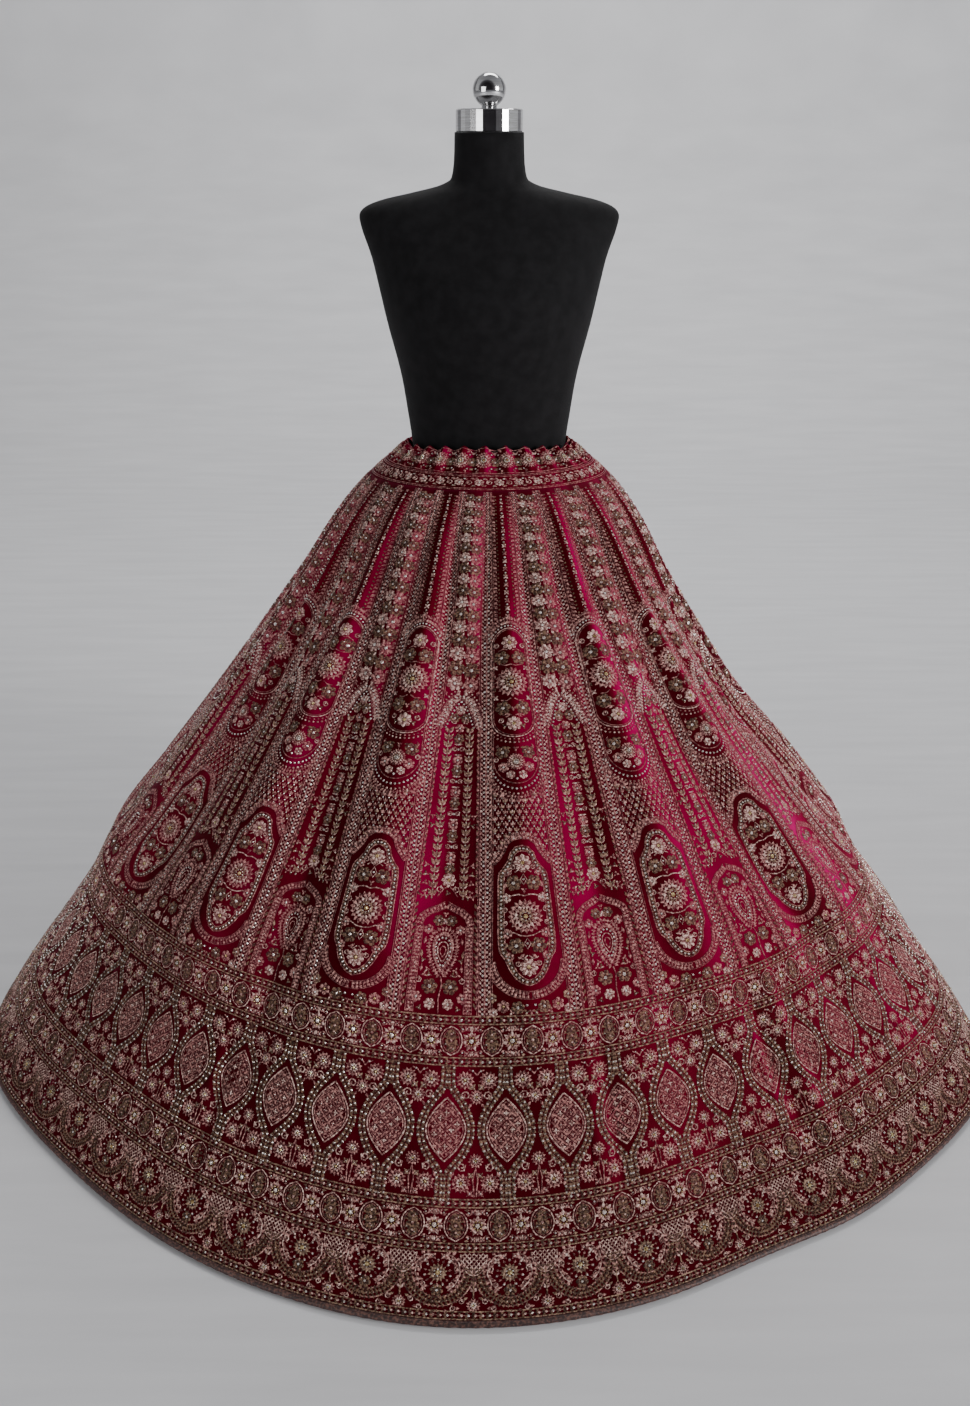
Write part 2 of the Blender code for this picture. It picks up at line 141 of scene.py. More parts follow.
def cubic(t, start, end, start_slope, end_slope):
    """Smooth cubic from one value to the next, with the slopes at its two ends."""
    first = (1 + 2 * t) * (1 - t) ** 2 * start + t * (1 - t) ** 2 * start_slope
    return first + t * t * (3 - 2 * t) * end + t * t * (t - 1) * end_slope


def ring_sizes(slant):
    """Ring sizes at many slants: a smooth cubic through the rows of RINGS."""
    slants, sizes = RINGS[:, 0], RINGS[:, 1:]
    slopes = np.gradient(sizes, slants, axis=0)
    row = np.clip(np.searchsorted(slants, slant) - 1, 0, len(slants) - 2)
    step = (slants[row + 1] - slants[row])[:, None]
    t = (slant - slants[row])[:, None] / step
    return cubic(t, sizes[row], sizes[row + 1], step * slopes[row], step * slopes[row + 1]).T


def turn_from(azimuth, centre):
    return (azimuth - centre + 180.0) % 360.0 - 180.0


def base_points(azimuth, slant):
    """Points of the skirt before its folds, for azimuths in degrees."""
    side_radius, front_radius, side_height, front_height = ring_sizes(slant)
    push = sum(out * np.exp(-(turn_from(azimuth, centre) / half) ** 2) for centre, half, out in HEM_WAVES)
    push = push * smoothstep(HEM_WAVE_START, HEM, slant)
    turn = np.radians(azimuth)
    return np.stack([
        (side_radius + push) * np.sin(turn),
        -(front_radius + push) * np.cos(turn),
        front_height + (side_height - front_height) * np.sin(turn) ** 2,
    ], axis=1)


def base_normals(azimuth, slant):
    across = base_points(azimuth + 0.5, slant) - base_points(azimuth - 0.5, slant)
    down = base_points(azimuth, np.minimum(slant + 0.002, HEM))
    down = down - base_points(azimuth, np.maximum(slant - 0.002, CASING_TOP))
    normal = np.cross(down, across)
    return normal / np.linalg.norm(normal, axis=1)[:, None]


def fold_heights(folds, azimuth, slant):
    total = np.zeros_like(azimuth)
    for fold in folds:
        length = fold.end - fold.start
        ramp = FOLD_RAMP_SHARE * length
        rise = smoothstep(fold.start, fold.start + ramp, slant)
        fall = 1.0 - smoothstep(fold.end - ramp, fold.end, slant)
        centre = fold.top + (fold.foot - fold.top) * np.clip((slant - fold.start) / length, 0.0, 1.0)
        total += fold.height * rise * fall * np.exp(-(turn_from(azimuth, centre) / fold.half_width) ** 2)
    return total


def skirt_heights(azimuth, slant):
    depth = PLEAT_DEPTH * smoothstep(0.0, PLEAT_FULL, slant)
    depth = depth * (1.0 - smoothstep(PLEAT_FULL, PLEAT_END, slant))
    pleats = depth * np.cos(PLEATS_ROUND * np.radians(azimuth - CENTRE_COLUMN))
    return pleats + fold_heights(LARGE_FOLDS + FINE_FOLDS, azimuth, slant)


def gather_swell(azimuth):
    """How much fuller or flatter the gathers are round the waist, from -1 to 1."""
    turn = np.radians(azimuth)
    return 0.6 * np.sin(5 * turn + 1.1) + 0.4 * np.sin(11 * turn + 0.4)


def casing_heights(azimuth, slant):
    share = smoothstep(CASING_SEAM, CASING_TOP, slant)
    depth = CASING_SEAM_GATHER_DEPTH + (CASING_GATHER_DEPTH - CASING_SEAM_GATHER_DEPTH) * share
    turn = np.radians(azimuth - FIRST_SEAM)
    uneven = depth * (1.0 + 0.22 * gather_swell(azimuth))
    fine = 0.16 * depth * np.cos(3 * CASING_GATHERS * turn + 2.0 * np.sin(7 * turn))
    return uneven * np.cos(CASING_GATHERS * turn) + fine


def flat_heights(azimuth, slant):
    return np.zeros_like(azimuth)


def lay_on(places, heights):
    """Points on the cloth for rows of (degrees, slant, lift)."""
    azimuth, slant, lift = places.T
    lift = lift + heights(azimuth, slant)
    return base_points(azimuth, slant) + base_normals(azimuth, slant) * lift[:, None]


# Waves round the skirt: count, depth, phase, and how they lean down the cloth
NAP_STREAKS = [(11, 0.050, 0.4, 1.6), (17, 0.045, 2.1, -1.2), (29, 0.040, 0.9, 0.8), (43, 0.030, 3.0, -0.6)]


# Step in degrees for the slopes that the painted light follows
PAINTED_LIGHT_STEP = 0.3


def painted_pile_light(azimuth, slant, heights):
    """Painted light and shade on the pile, -0.4 to 0.8: painted light on slopes that face +X and on the +X
    side, painted shade towards the hem, and streaks of tone down the cloth.
    """
    rise = heights(azimuth + PAINTED_LIGHT_STEP, slant) - heights(azimuth - PAINTED_LIGHT_STEP, slant)
    slope = rise / (2 * PAINTED_LIGHT_STEP * reach(slant))
    # Painted light: slopes that face +X and the +X side are lighter, as a lamp at +X lights them
    painted_light_values = 0.18 - 0.22 * np.tanh(slope / 0.20) + 0.14 * np.sin(np.radians(azimuth - 6.0))
    # Painted shade: darker towards the hem
    painted_light_values -= 0.08 * smoothstep(0.70, 0.82, slant) + 0.30 * smoothstep(0.93, 1.04, slant)
    for count, depth, phase, lean in NAP_STREAKS:
        painted_light_values += depth * np.cos(count * np.radians(azimuth) + phase + lean * slant)
    return np.clip(painted_light_values, -0.4, 0.8)


def reach(slant):
    """Metres of cloth across one degree, at a slant."""
    side_radius, front_radius, _, _ = ring_sizes(np.atleast_1d(np.asarray(slant, float)))
    return radians(1.0) * (side_radius + front_radius) / 2


# Materials
ROSE, OLIVE, PALE, SILVER, GOLD, CORD, SAGE = range(7)


def new_material(name):
    material = bpy.data.materials.new(name)
    material.use_nodes = True
    tree = material.node_tree
    return material, tree, tree.nodes["Principled BSDF"]


def set_inputs(node, inputs):
    """Set a node's inputs to numbers, colours or the outputs of other nodes."""
    for name, value in inputs.items():
        if isinstance(value, bpy.types.NodeSocket):
            node.id_data.links.new(value, node.inputs[name])
        else:
            node.inputs[name].default_value = value


def add_node(tree, kind, inputs, **settings):
    node = tree.nodes.new("ShaderNode" + kind)
    for name, value in settings.items():
        setattr(node, name, value)
    set_inputs(node, inputs)
    return node


def add_math(tree, operation, *values, clamp=False):
    math = add_node(tree, "Math", dict(enumerate(values)), operation=operation, use_clamp=clamp)
    return math.outputs["Value"]


def painted_light_input(tree):
    # Reads the stored painted light and shade
    return add_node(tree, "Attribute", {}, attribute_name="painted_light").outputs["Fac"]


def add_noise(tree, scale, detail=3.0, stretch=(1.0, 1.0, 1.0)):
    """Noise in object space, in metres."""
    place = add_node(tree, "TexCoord", {}).outputs["Object"]
    mapping = add_node(tree, "Mapping", {"Scale": stretch, "Vector": place})
    inputs = {"Scale": scale, "Detail": detail, "Vector": mapping.outputs["Vector"]}
    return add_node(tree, "TexNoise", inputs).outputs["Fac"]


def add_ramp(tree, source, stops):
    ramp = add_node(tree, "ValToRGB", {"Fac": source})
    while len(ramp.color_ramp.elements) < len(stops):
        ramp.color_ramp.elements.new(0.5)
    for element, (place, color) in zip(ramp.color_ramp.elements, stops):
        element.position = place
        element.color = (*color, 1.0)
    return ramp.outputs["Color"]


def add_bump(tree, shader, source, distance, strength=1.0):
    bump = add_node(tree, "Bump", {"Distance": distance, "Strength": strength, "Height": source})
    set_inputs(shader, {"Normal": bump.outputs["Normal"]})


def velvet_material():
    """Silk velvet, maroon to crimson and magenta: a cloudy tone plus painted light and shade, lighter on
    slopes and the side towards +X and darker towards the hem.
    """
    material, tree, shader = new_material("silk_velvet")
    # Painted light and shade: the ramp follows the stored painted light as well as a cloudy tone
    cloud_and_painted_light = add_math(tree, "MULTIPLY_ADD", add_noise(tree, 14.0, 5.0), 0.34, painted_light_input(tree))
    color = add_ramp(tree, cloud_and_painted_light, [
        (0.20, (0.045, 0.0003, 0.0022)), (0.42, (0.120, 0.0004, 0.0100)),
        (0.62, (0.270, 0.0006, 0.0420)), (0.90, (0.620, 0.0015, 0.1750))])
    set_inputs(shader, {
        "Base Color": color, "Roughness": 0.70, "Specular IOR Level": 0.10,
        "Specular Tint": (0.95, 0.10, 0.22, 1.0), "Sheen Weight": 0.22, "Sheen Roughness": 0.35,
        "Sheen Tint": (0.95, 0.03, 0.20, 1.0)})
    add_bump(tree, shader, add_noise(tree, 900.0, 2.0), 0.0006, 0.6)
    return material


# Threads brighten and redden with the painted light and shade of the pile under them, take a painted red
# sheen at grazing angles, and have painted glints
THREAD_GLOW, PAINTED_LIGHT_GLOW = 0.90, 0.33
PAINTED_GLINT_GAIN = 1.7
THREAD_GRAIN = 1400.0
PAINTED_LIGHT_BLUSH, PAINTED_EDGE_SHEEN = 1.10, 0.22
PAINTED_BLUSH_COLOR = (0.360, 0.028, 0.075)


def thread_material(name, dark, light, roughness, metallic=0.0, blush_share=1.0):
    """Stitched thread or bead: tones that change from stitch to stitch, with painted glints, painted light
    and shade that brighten and redden it with the pile under it, and a painted red sheen at grazing angles."""
    material, tree, shader = new_material(name)
    painted_light = painted_light_input(tree)
    # Painted sheen: a Layer Weight mixes red into the base colour towards grazing angles
    edge = add_node(tree, "LayerWeight", {"Blend": 0.5}).outputs["Facing"]
    aside = add_math(tree, "MULTIPLY", edge, PAINTED_EDGE_SHEEN * blush_share)
    # Painted light: the red mix follows the stored painted light and the painted sheen
    painted_blush = add_math(tree, "MULTIPLY_ADD", painted_light, PAINTED_LIGHT_BLUSH * blush_share, aside, clamp=True)
    # Painted glints: a third, brighter stop of the stitch tones
    painted_glint = tuple(min(1.0, PAINTED_GLINT_GAIN * value) for value in light)
    tone = add_ramp(tree, add_noise(tree, 330.0, 1.0), [(0.41, dark), (0.57, light), (0.68, painted_glint)])
    mix = add_node(tree, "Mix", {"Factor": painted_blush, "A": tone, "B": (*PAINTED_BLUSH_COLOR, 1.0)}, data_type="RGBA")
    # Painted light and shade: brightness follows the stored painted light
    bright = add_math(tree, "MULTIPLY_ADD", painted_light, PAINTED_LIGHT_GLOW, THREAD_GLOW)
    shade = add_node(tree, "HueSaturation", {"Value": bright, "Color": mix.outputs["Result"]})
    set_inputs(shader, {"Base Color": shade.outputs["Color"], "Roughness": roughness, "Metallic": metallic})
    if not metallic:
        set_inputs(shader, {"Specular IOR Level": 0.30, "Specular Tint": (1.0, 0.62, 0.58, 1.0)})
    add_bump(tree, shader, add_noise(tree, THREAD_GRAIN, 2.0), 0.0005, 0.7)
    return material


def embroidery_materials():
    threads = [
        ("thread_rose", (0.080, 0.022, 0.023), (0.440, 0.232, 0.205), 0.46, 0.0, 1.0),
        ("thread_olive", (0.030, 0.014, 0.009), (0.160, 0.094, 0.060), 0.50, 0.0, 0.30),
        ("thread_pale", (0.200, 0.095, 0.085), (0.640, 0.430, 0.375), 0.42, 0.0, 0.60),
        ("bead_silver", (0.52, 0.43, 0.38), (0.95, 0.88, 0.81), 0.20, 0.45, 0.15),
        ("bead_gold", (0.36, 0.23, 0.09), (0.72, 0.54, 0.28), 0.26, 0.60, 0.20),
        ("cord_rose", (0.042, 0.013, 0.014), (0.255, 0.112, 0.100), 0.46, 0.0, 1.0),
        ("thread_sage", (0.080, 0.042, 0.030), (0.330, 0.218, 0.152), 0.46, 0.0, 0.45),
    ]
    return [thread_material(*thread) for thread in threads]


# Meshes
def mesh_from_arrays(name, points, faces, finish=None, smooth=False):
    """A mesh from points, faces of equal size, and a material number for each face."""
    mesh = bpy.data.meshes.new(name)
    mesh.vertices.add(len(points))
    mesh.vertices.foreach_set("co", np.asarray(points, np.float32).ravel())
    mesh.loops.add(faces.size)
    mesh.loops.foreach_set("vertex_index", faces.astype(np.int32).ravel())
    mesh.polygons.add(len(faces))
    mesh.polygons.foreach_set("loop_start", np.arange(0, faces.size, faces.shape[1], dtype=np.int32))
    if finish is not None:
        mesh.polygons.foreach_set("material_index", finish.astype(np.int32))
    mesh.polygons.foreach_set("use_smooth", np.full(len(faces), smooth))
    mesh.update(calc_edges=True)
    mesh.validate()
    return mesh


def add_painted_pile_light(mesh, painted_light_values):
    # Stores painted light and shade on the mesh, for its materials to read
    mesh.attributes.new("painted_light", "FLOAT", "POINT").data.foreach_set("value", painted_light_values.astype(np.float32))


def grid_quads(index):
    """Quads over a grid of point numbers."""
    return np.stack([index[:-1, :-1], index[1:, :-1], index[1:, 1:], index[:-1, 1:]], axis=2).reshape(-1, 4)


def ring_corners(rings, sides):
    """Point numbers of a turned shape, ring by ring, and those of the next point round each ring."""
    here, side = np.arange(rings)[:, None] * sides, np.arange(sides)[None, :]
    return here + side, here + (side + 1) % sides


def add_piece(name, mesh, materials):
    for material in materials:
        mesh.materials.append(material)
    piece = bpy.data.objects.new(name, mesh)
    bpy.context.scene.collection.objects.link(piece)
    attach(piece, "root")
    return piece


def wall_mesh(name, azimuths, slants, heights, closed):
    """A closed cloth wall over a grid of places: an outer skin, an inner one and the cut edges."""
    rows, columns = azimuths.shape
    size = rows * columns
    places = np.stack([azimuths.ravel(), slants.ravel(), np.zeros(size)], axis=1)
    points = np.concatenate([lay_on(places, heights), lay_on(places - [0.0, 0.0, CLOTH_THICKNESS], heights)])
    index = np.arange(size).reshape(rows, columns)
    if closed:
        index = np.concatenate([index, index[:, :1]], axis=1)
    skin = grid_quads(index)
    faces = [skin, skin[:, ::-1] + size]
    edges = [(index[0], 1), (index[-1], -1)]
    if not closed:
        edges += [(index[:, 0], -1), (index[:, -1], 1)]
    for edge, order in edges:
        rim = np.stack([edge[:-1], edge[1:], edge[1:] + size, edge[:-1] + size], axis=1)
        faces.append(rim[:, ::order])
    mesh = mesh_from_arrays(name, points, np.concatenate(faces), smooth=True)
    # Painted light and shade for the velvet, on both skins
    add_painted_pile_light(mesh, np.tile(painted_pile_light(places[:, 0], places[:, 1], heights), 2))
    return mesh


# Flat embroidery, collected as rows and turned into meshes at the end
LEAF_SHAPE = np.array([(0, 0, 0), (0.42, 0.5, 0), (1, 0, 0), (0.42, -0.5, 0), (0.46, 0, 1)], float)
LEAF_FACES = np.array([(0, 3, 4), (3, 2, 4), (2, 1, 4), (1, 0, 4)])
PETAL_SHAPE = np.array([(0, 0, 0), (0.34, 0.36, 0), (0.78, 0.42, 0), (1, 0, 0), (0.78, -0.42, 0),
                        (0.34, -0.36, 0), (0.62, 0, 1)], float)
PETAL_FACES = np.array([(0, 5, 6), (5, 4, 6), (4, 3, 6), (3, 2, 6), (2, 1, 6), (1, 0, 6)])
BEAD_SIDES = 5
BEAD_SHAPE = np.array([(cos(2 * pi * k / BEAD_SIDES), sin(2 * pi * k / BEAD_SIDES), 0)
                       for k in range(BEAD_SIDES)] + [(0, 0, 1)])
BEAD_FACES = np.array([(k, (k + 1) % BEAD_SIDES, BEAD_SIDES) for k in range(BEAD_SIDES)])
BED_LIFT = 0.0004
MM = 0.001
CURL_STEPS, CURL_TURNS = 9, 1.15
ROPE_PITCH = 0.0044


def finer(line, count):
    """The same line with another number of points, evenly spread over its own."""
    line = np.array(line, float)
    marks = np.linspace(0, len(line) - 1, count)
    return np.stack([np.interp(marks, range(len(line)), line[:, k]) for k in (0, 1)], axis=1)


class Design:
    """Embroidery drawn flat; a place is (degrees across, slant)."""

    def __init__(self):
        self.leaves, self.petals, self.beads, self.cords = [], [], [], []

    def leaf(self, place, angle, length, width, finish):
        self.leaves.append((*place, angle, length, width, 0.0007 + 0.07 * length, finish))

    def petal(self, place, angle, length, width, finish):
        self.petals.append((*place, angle, length, width, 0.0007 + 0.09 * length, finish))

    def bead(self, place, radius, finish):
        self.beads.append((*place, 0.0, radius, radius, 0.0004 + 0.8 * radius, finish))

    def cord(self, places, width, finish):
        self.cords.append((np.array(places, float), width, finish))

    def marks(self, across):
        """Stitched spots as metres across from an azimuth, and slant."""
        spots = []
        for rows, shares in ((self.leaves, (0.3, 0.8)), (self.petals, (0.3, 0.8)), (self.beads, (0.0,))):
            if not rows:
                continue
            table = np.array(rows)
            turn, metres = np.radians(table[:, 2]), (table[:, 0] - across) * reach(table[:, 1])
            for share in shares:
                x, y = share * table[:, 3] * np.sin(turn), share * table[:, 3] * np.cos(turn)
                spots.append(np.stack([metres + x, table[:, 1] + y], axis=1))
        for line, _, _ in self.cords:
            fine = finer(line, 3 * len(line))
            spots.append(np.stack([(fine[:, 0] - across) * reach(fine[:, 1]), fine[:, 1]], axis=1))
        return np.concatenate(spots)

    def flat_mesh(self):
        """All of it as places (degrees, slant, lift), triangles and finishes."""
        places, faces, finishes, start = [], [], [], 0
        for rows, shape, template in ((self.leaves, LEAF_SHAPE, LEAF_FACES),
                                      (self.petals, PETAL_SHAPE, PETAL_FACES),
                                      (self.beads, BEAD_SHAPE, BEAD_FACES)):
            if not rows:
                continue
            table = np.array(rows)
            across, slant, angle, length, width, height = (table[:, k:k + 1] for k in range(6))
            turn = np.radians(angle)
            along, aside = shape[None, :, 0] * length, shape[None, :, 1] * width
            x = along * np.sin(turn) + aside * np.cos(turn)
            y = along * np.cos(turn) - aside * np.sin(turn)
            lift = BED_LIFT + shape[None, :, 2] * height
            degrees_across = across + x / reach(slant[:, 0])[:, None]
            places.append(np.stack([degrees_across, slant + y, lift], axis=2).reshape(-1, 3))
            offsets = start + np.arange(len(table))[:, None, None] * len(shape)
            faces.append((template[None] + offsets).reshape(-1, 3))
            finishes.append(np.repeat(table[:, 6], len(template)))
            start += len(table) * len(shape)
        for line, width, finish in self.cords:
            steps = np.gradient(line, axis=0)
            x, y = steps[:, 0] * reach(line[:, 1]), steps[:, 1]
            half = width / 2 / np.maximum(np.hypot(x, y), 1e-9)
            aside = np.stack([y * half / reach(line[:, 1]), -x * half], axis=1)
            count = len(line)
            for row, height in ((line - aside, 0.0), (line, 0.55 * width), (line + aside, 0.0)):
                places.append(np.hstack([row, np.full((count, 1), BED_LIFT + height)]))
            here = start + np.arange(count - 1)
            for first in (0, count):
                low_edge, high_edge = here + first, here + first + count
                faces.append(np.stack([low_edge, low_edge + 1, high_edge + 1], axis=1))
                faces.append(np.stack([low_edge, high_edge + 1, high_edge], axis=1))
            finishes.append(np.full(4 * (count - 1), finish))
            start += 3 * count
        return np.concatenate(places), np.concatenate(faces), np.concatenate(finishes)


class Pen:
    """A local drawing frame on a design: x across and y down in metres, turned and perhaps mirrored."""

    def __init__(self, design, across, slant, angle=0.0, mirror=1):
        self.design, self.across, self.slant, self.angle, self.mirror = design, across, slant, angle, mirror
        self.metres_per_degree = float(reach(slant)[0])

    def at(self, x, y):
        turn = radians(self.angle)
        right = self.mirror * (x * cos(turn) + y * sin(turn))
        return self.across + right / self.metres_per_degree, self.slant + y * cos(turn) - x * sin(turn)

    def heading(self, angle):
        return self.mirror * (angle + self.angle)

    def moved(self, x, y, angle=0.0):
        return Pen(self.design, *self.at(x, y), self.angle + angle, self.mirror)

    def leaf(self, x, y, angle, length, width, finish):
        self.design.leaf(self.at(x, y), self.heading(angle), length, width, finish)

    def petal(self, x, y, angle, length, width, finish):
        self.design.petal(self.at(x, y), self.heading(angle), length, width, finish)

    def bead(self, x, y, radius, finish):
        self.design.bead(self.at(x, y), radius, finish)

    def cord(self, points, width, finish):
        self.design.cord([self.at(x, y) for x, y in points], width, finish)


def mirrored(design, across, slant):
    """Two pens at one place: the first draws to the left, the second to the right."""
    return [Pen(design, across, slant, mirror=side) for side in (-1, 1)]


def turns(count, spin=0.0):
    """Angles spread evenly round a centre, each with its sine and cosine."""
    angles = [spin + 360.0 * k / count for k in range(count)]
    return [(angle, sin(radians(angle)), cos(radians(angle))) for angle in angles]


def stitch(pen, rows):
    """Small motifs from rows of (motif, x, y, angle, size, ...), with lengths in millimetres."""
    for motif, x, y, angle, size, *rest in rows:
        motif(pen.moved(x * MM, y * MM, angle), size * MM, *rest)


def leaf(pen, length, width, finish):
    pen.leaf(0, 0, 0, length, width * MM, finish)


def bead(pen, radius, finish):
    pen.bead(0, 0, radius, finish)


def cord(pen, width, finish, *points):
    pen.cord([(x * MM, y * MM) for x, y in points], width, finish)


def blossom(pen, radius, petals=6, finish=ROSE, heart=SILVER, spin=0.0):
    """Round flower of plain petals round one bead."""
    width = 2.5 * pi * radius * 0.62 / petals
    for angle, x, y in turns(petals, spin):
        pen.petal(0.20 * radius * x, 0.20 * radius * y, angle, 0.80 * radius, width, finish)
    pen.bead(0, 0, 0.24 * radius, heart)


def full_flower(pen, radius, petal_rows, fullness, dots, dot_ring, heart_share, heart):
    """Rows of narrow petals, each (count, start, length, finish, spin) in radii, then dots and a heart."""
    for petals, start, length, finish, spin in petal_rows:
        width = 2.0 * pi * radius * (start + fullness * length) / petals
        for angle, x, y in turns(petals, spin):
            pen.leaf(start * radius * x, start * radius * y, angle, length * radius, width, finish)
    for _, x, y in turns(dots):
        pen.bead(dot_ring * radius * x, dot_ring * radius * y, 0.0011, SILVER)
    pen.bead(0, 0, heart_share * radius, heart)


def chrysanthemum(pen, radius, heart=GOLD):
    """Large flower: three rows of petals, a ring of dots and a gold heart."""
    petal_rows = [(20, 0.64, 0.36, ROSE, 0.0), (16, 0.40, 0.34, PALE, 11.0), (11, 0.20, 0.28, SAGE, 5.0)]
    full_flower(pen, radius, petal_rows, 0.6, 8, 0.24, 0.15, heart)


def daisy(pen, radius):
    """Small round flower: two rows of petals and a dotted heart."""
    petal_rows = [(13, 0.48, 0.52, ROSE, 0.0), (9, 0.20, 0.40, PALE, 12.0)]
    full_flower(pen, radius, petal_rows, 0.5, 5, 0.26, 0.17, GOLD)


def olive_rosette(pen, radius, spin=20.0):
    """Dark olive flower with bright dots on its petals."""
    radius = 1.16 * radius
    blossom(pen, radius, 6, OLIVE, SILVER, spin)
    for k, (_, x, y) in enumerate(turns(5, spin)):
        pen.bead(0.60 * radius * x, 0.60 * radius * y, 0.0010, SILVER if k % 2 else PALE)


def quatrefoil(pen, radius, finish=ROSE, heart=SILVER):
    for angle, _, _ in turns(4, 45.0):
        pen.leaf(0, 0, angle, radius, 0.62 * radius, finish)
    pen.bead(0, 0, 0.2 * radius, heart)


def curl(pen, radius, finish=ROSE, width=0.0014):
    """Spiral tendril that opens downwards into a short tail."""
    points = []
    for share in np.arange(CURL_STEPS) / (CURL_STEPS - 1):
        turn = 2 * pi * CURL_TURNS * share
        grown = radius * (0.25 + 0.75 * share)
        points.append((grown * sin(turn), -grown * cos(turn)))
    points.append((points[-1][0] - 0.2 * radius, points[-1][1] + 1.2 * radius))
    pen.cord(points, width, finish)


def spaced(points, pitch):
    """A line, how far along it each of its points lies, and places a pitch apart."""
    line = np.array(points, float)
    marks = np.concatenate([[0.0], np.cumsum(np.hypot(*np.diff(line, axis=0).T))])
    return line, marks, np.arange(pitch / 2, marks[-1], pitch)


def leaf_pairs(pen, points, pitch, length, width, finish, lean=48.0):
    """Leaves in pairs along a line, leaning back from its heading."""
    line, marks, middles = spaced(points, pitch)
    for mark in middles:
        x, y = np.interp(mark, marks, line[:, 0]), np.interp(mark, marks, line[:, 1])
        row = min(int(np.searchsorted(marks, mark)) - 1, len(line) - 2)
        heading = degrees(np.arctan2(*(line[row + 1] - line[row])))
        for hand in (-1, 1):
            pen.leaf(x, y, heading + hand * lean, length, width, finish)


def bead_line(pen, points, pitch, radius, finish=SILVER, offset=0.0):
    line, marks, middles = spaced(points, pitch)
    steps = np.gradient(line, axis=0)
    for mark in middles:
        x, y, dx, dy = (np.interp(mark, marks, row) for row in (*line.T, *steps.T))
        size = max(hypot(dx, dy), 1e-9)
        pen.bead(x + offset * dy / size, y - offset * dx / size, radius, finish)


def shifted(points, offset):
    """The same line moved sideways."""
    line = np.array(points, float)
    steps = np.gradient(line, axis=0)
    size = np.maximum(np.hypot(steps[:, 0], steps[:, 1]), 1e-9)[:, None]
    return line + offset * np.stack([steps[:, 1], -steps[:, 0]], axis=1) / size


def rope(pen, points, width, finish=ROSE):
    """Thick braided line: leaf pairs between two cords."""
    leaf_pairs(pen, points, ROPE_PITCH, width * 0.62, ROPE_PITCH * 1.05, finish, lean=58.0)
    for side in (1, -1):
        pen.cord(shifted(points, side * width / 2), 0.0011, CORD)


def arc(radius_x, radius_y, start, end, count, x=0.0, y=0.0):
    """Arc of an oval; 0 degrees is straight down."""
    turns = np.radians(np.linspace(start, end, count))
    return [(x + radius_x * sin(turn), y + radius_y * cos(turn)) for turn in turns]


FILL_FINISHES = [(ROSE, ROSE, ROSE), (OLIVE, OLIVE, SAGE), (ROSE, PALE, ROSE), (SAGE, OLIVE, ROSE)]
FILL_REACH = 0.08
FILL_SPIN = 137.0


def fill_gaps(design, across, top, foot, half_at, pitch=0.0060, clear=0.0050):
    """Tiny sprigs wherever a zone is still bare, alike on both sides of its middle."""
    taken = design.marks(across)
    taken = taken[np.abs(taken[:, 0]) < FILL_REACH]
    placed = 0
    for row, slant in enumerate(np.arange(top, foot, pitch)):
        for x in np.arange(0.5 * pitch * (row % 2), half_at(slant), pitch):
            if np.min(np.hypot(taken[:, 0] - x, taken[:, 1] - slant)) < clear:
                continue
            spin = FILL_SPIN * placed
            for side in (-1, 1) if x > 0 else (1,):
                pen = Pen(design, across, slant, mirror=side)
                for k, finish in enumerate(FILL_FINISHES[placed % len(FILL_FINISHES)]):
                    pen.leaf(x, -0.0010, spin + 120.0 * k, 0.0044, 0.0030, finish)
                if placed % 2:
                    pen.bead(x, 0, 0.0011, SILVER)
            taken = np.vstack([taken, [[x, slant], [-x, slant]]])
            placed += 1


# Panels. Slants of the motifs, from the yoke seam down
LINE_A, LINE_B, LINE_C, LINE_D, HEM_LINE = 0.740, 0.790, 0.960, 1.012, 1.0955
RAIL_DEGREES = KALI_DEGREES / 4
LEAF_PANEL = KALI_DEGREES / 2


def rail_half(slant):
    return 0.0072 * (0.50 + 0.50 * smoothstep(0.0, 0.22, slant))


def panel_half(slant):
    """Half the clear width of a panel between its rails, in metres."""
    return float(reach(slant)[0]) * RAIL_DEGREES - float(rail_half(slant)) * 1.15


def draw_rail(design, across):
    """Double beaded rail from the yoke to the border."""
    slant = 0.004
    row = 0
    while slant < LINE_A - 0.006:
        half = float(rail_half(slant))
        pen = Pen(design, across, slant)
        pitch = 0.0059 * (half / 0.0072) ** 0.5
        for side in (-1, 1):
            pen.bead(side * half * 0.34, 0, 0.26 * half, SILVER if (row + side) % 4 < 2 else PALE)
            pen.leaf(side * half * 0.60, 0.30 * pitch, side * 60.0, half * 0.48, pitch * 0.90,
                     PALE if row % 2 else ROSE)
        slant += pitch
        row += 1
    marks = np.linspace(0.003, LINE_A - 0.006, 40)
    design.cord([(across, mark) for mark in marks], 0.0022, ROSE)
    for side in (-1, 1):
        for edge in (1.0, 1.30):
            design.cord([(across + side * edge * float(rail_half(mark)) / float(reach(mark)[0]), mark)
                         for mark in marks], 0.0011, CORD if edge > 1.1 else ROSE)


def draw_capsule_top(design):
    """Feathered borders and a chain of small flowers, under the yoke."""
    for k, slant in enumerate(np.arange(0.010, 0.196, 0.0058)):
        half = panel_half(slant)
        pen = Pen(design, 0.0, slant)
        for side in (-1, 1):
            pen.leaf(side * half * 0.93, 0.0, -side * 42.0, half * 0.42, 0.0042, ROSE)
            pen.leaf(side * half * 0.60, 0.002, -side * 150.0, half * 0.20, 0.0030, OLIVE)
        if k % 2 == 0:
            quatrefoil(pen, half * 0.26, PALE if k % 4 else ROSE)
        else:
            stitch(pen, [
                (bead, 0, 0, 0, 1.4, SILVER), (leaf, 0, 1, 0, 5, 3, OLIVE)
            ])


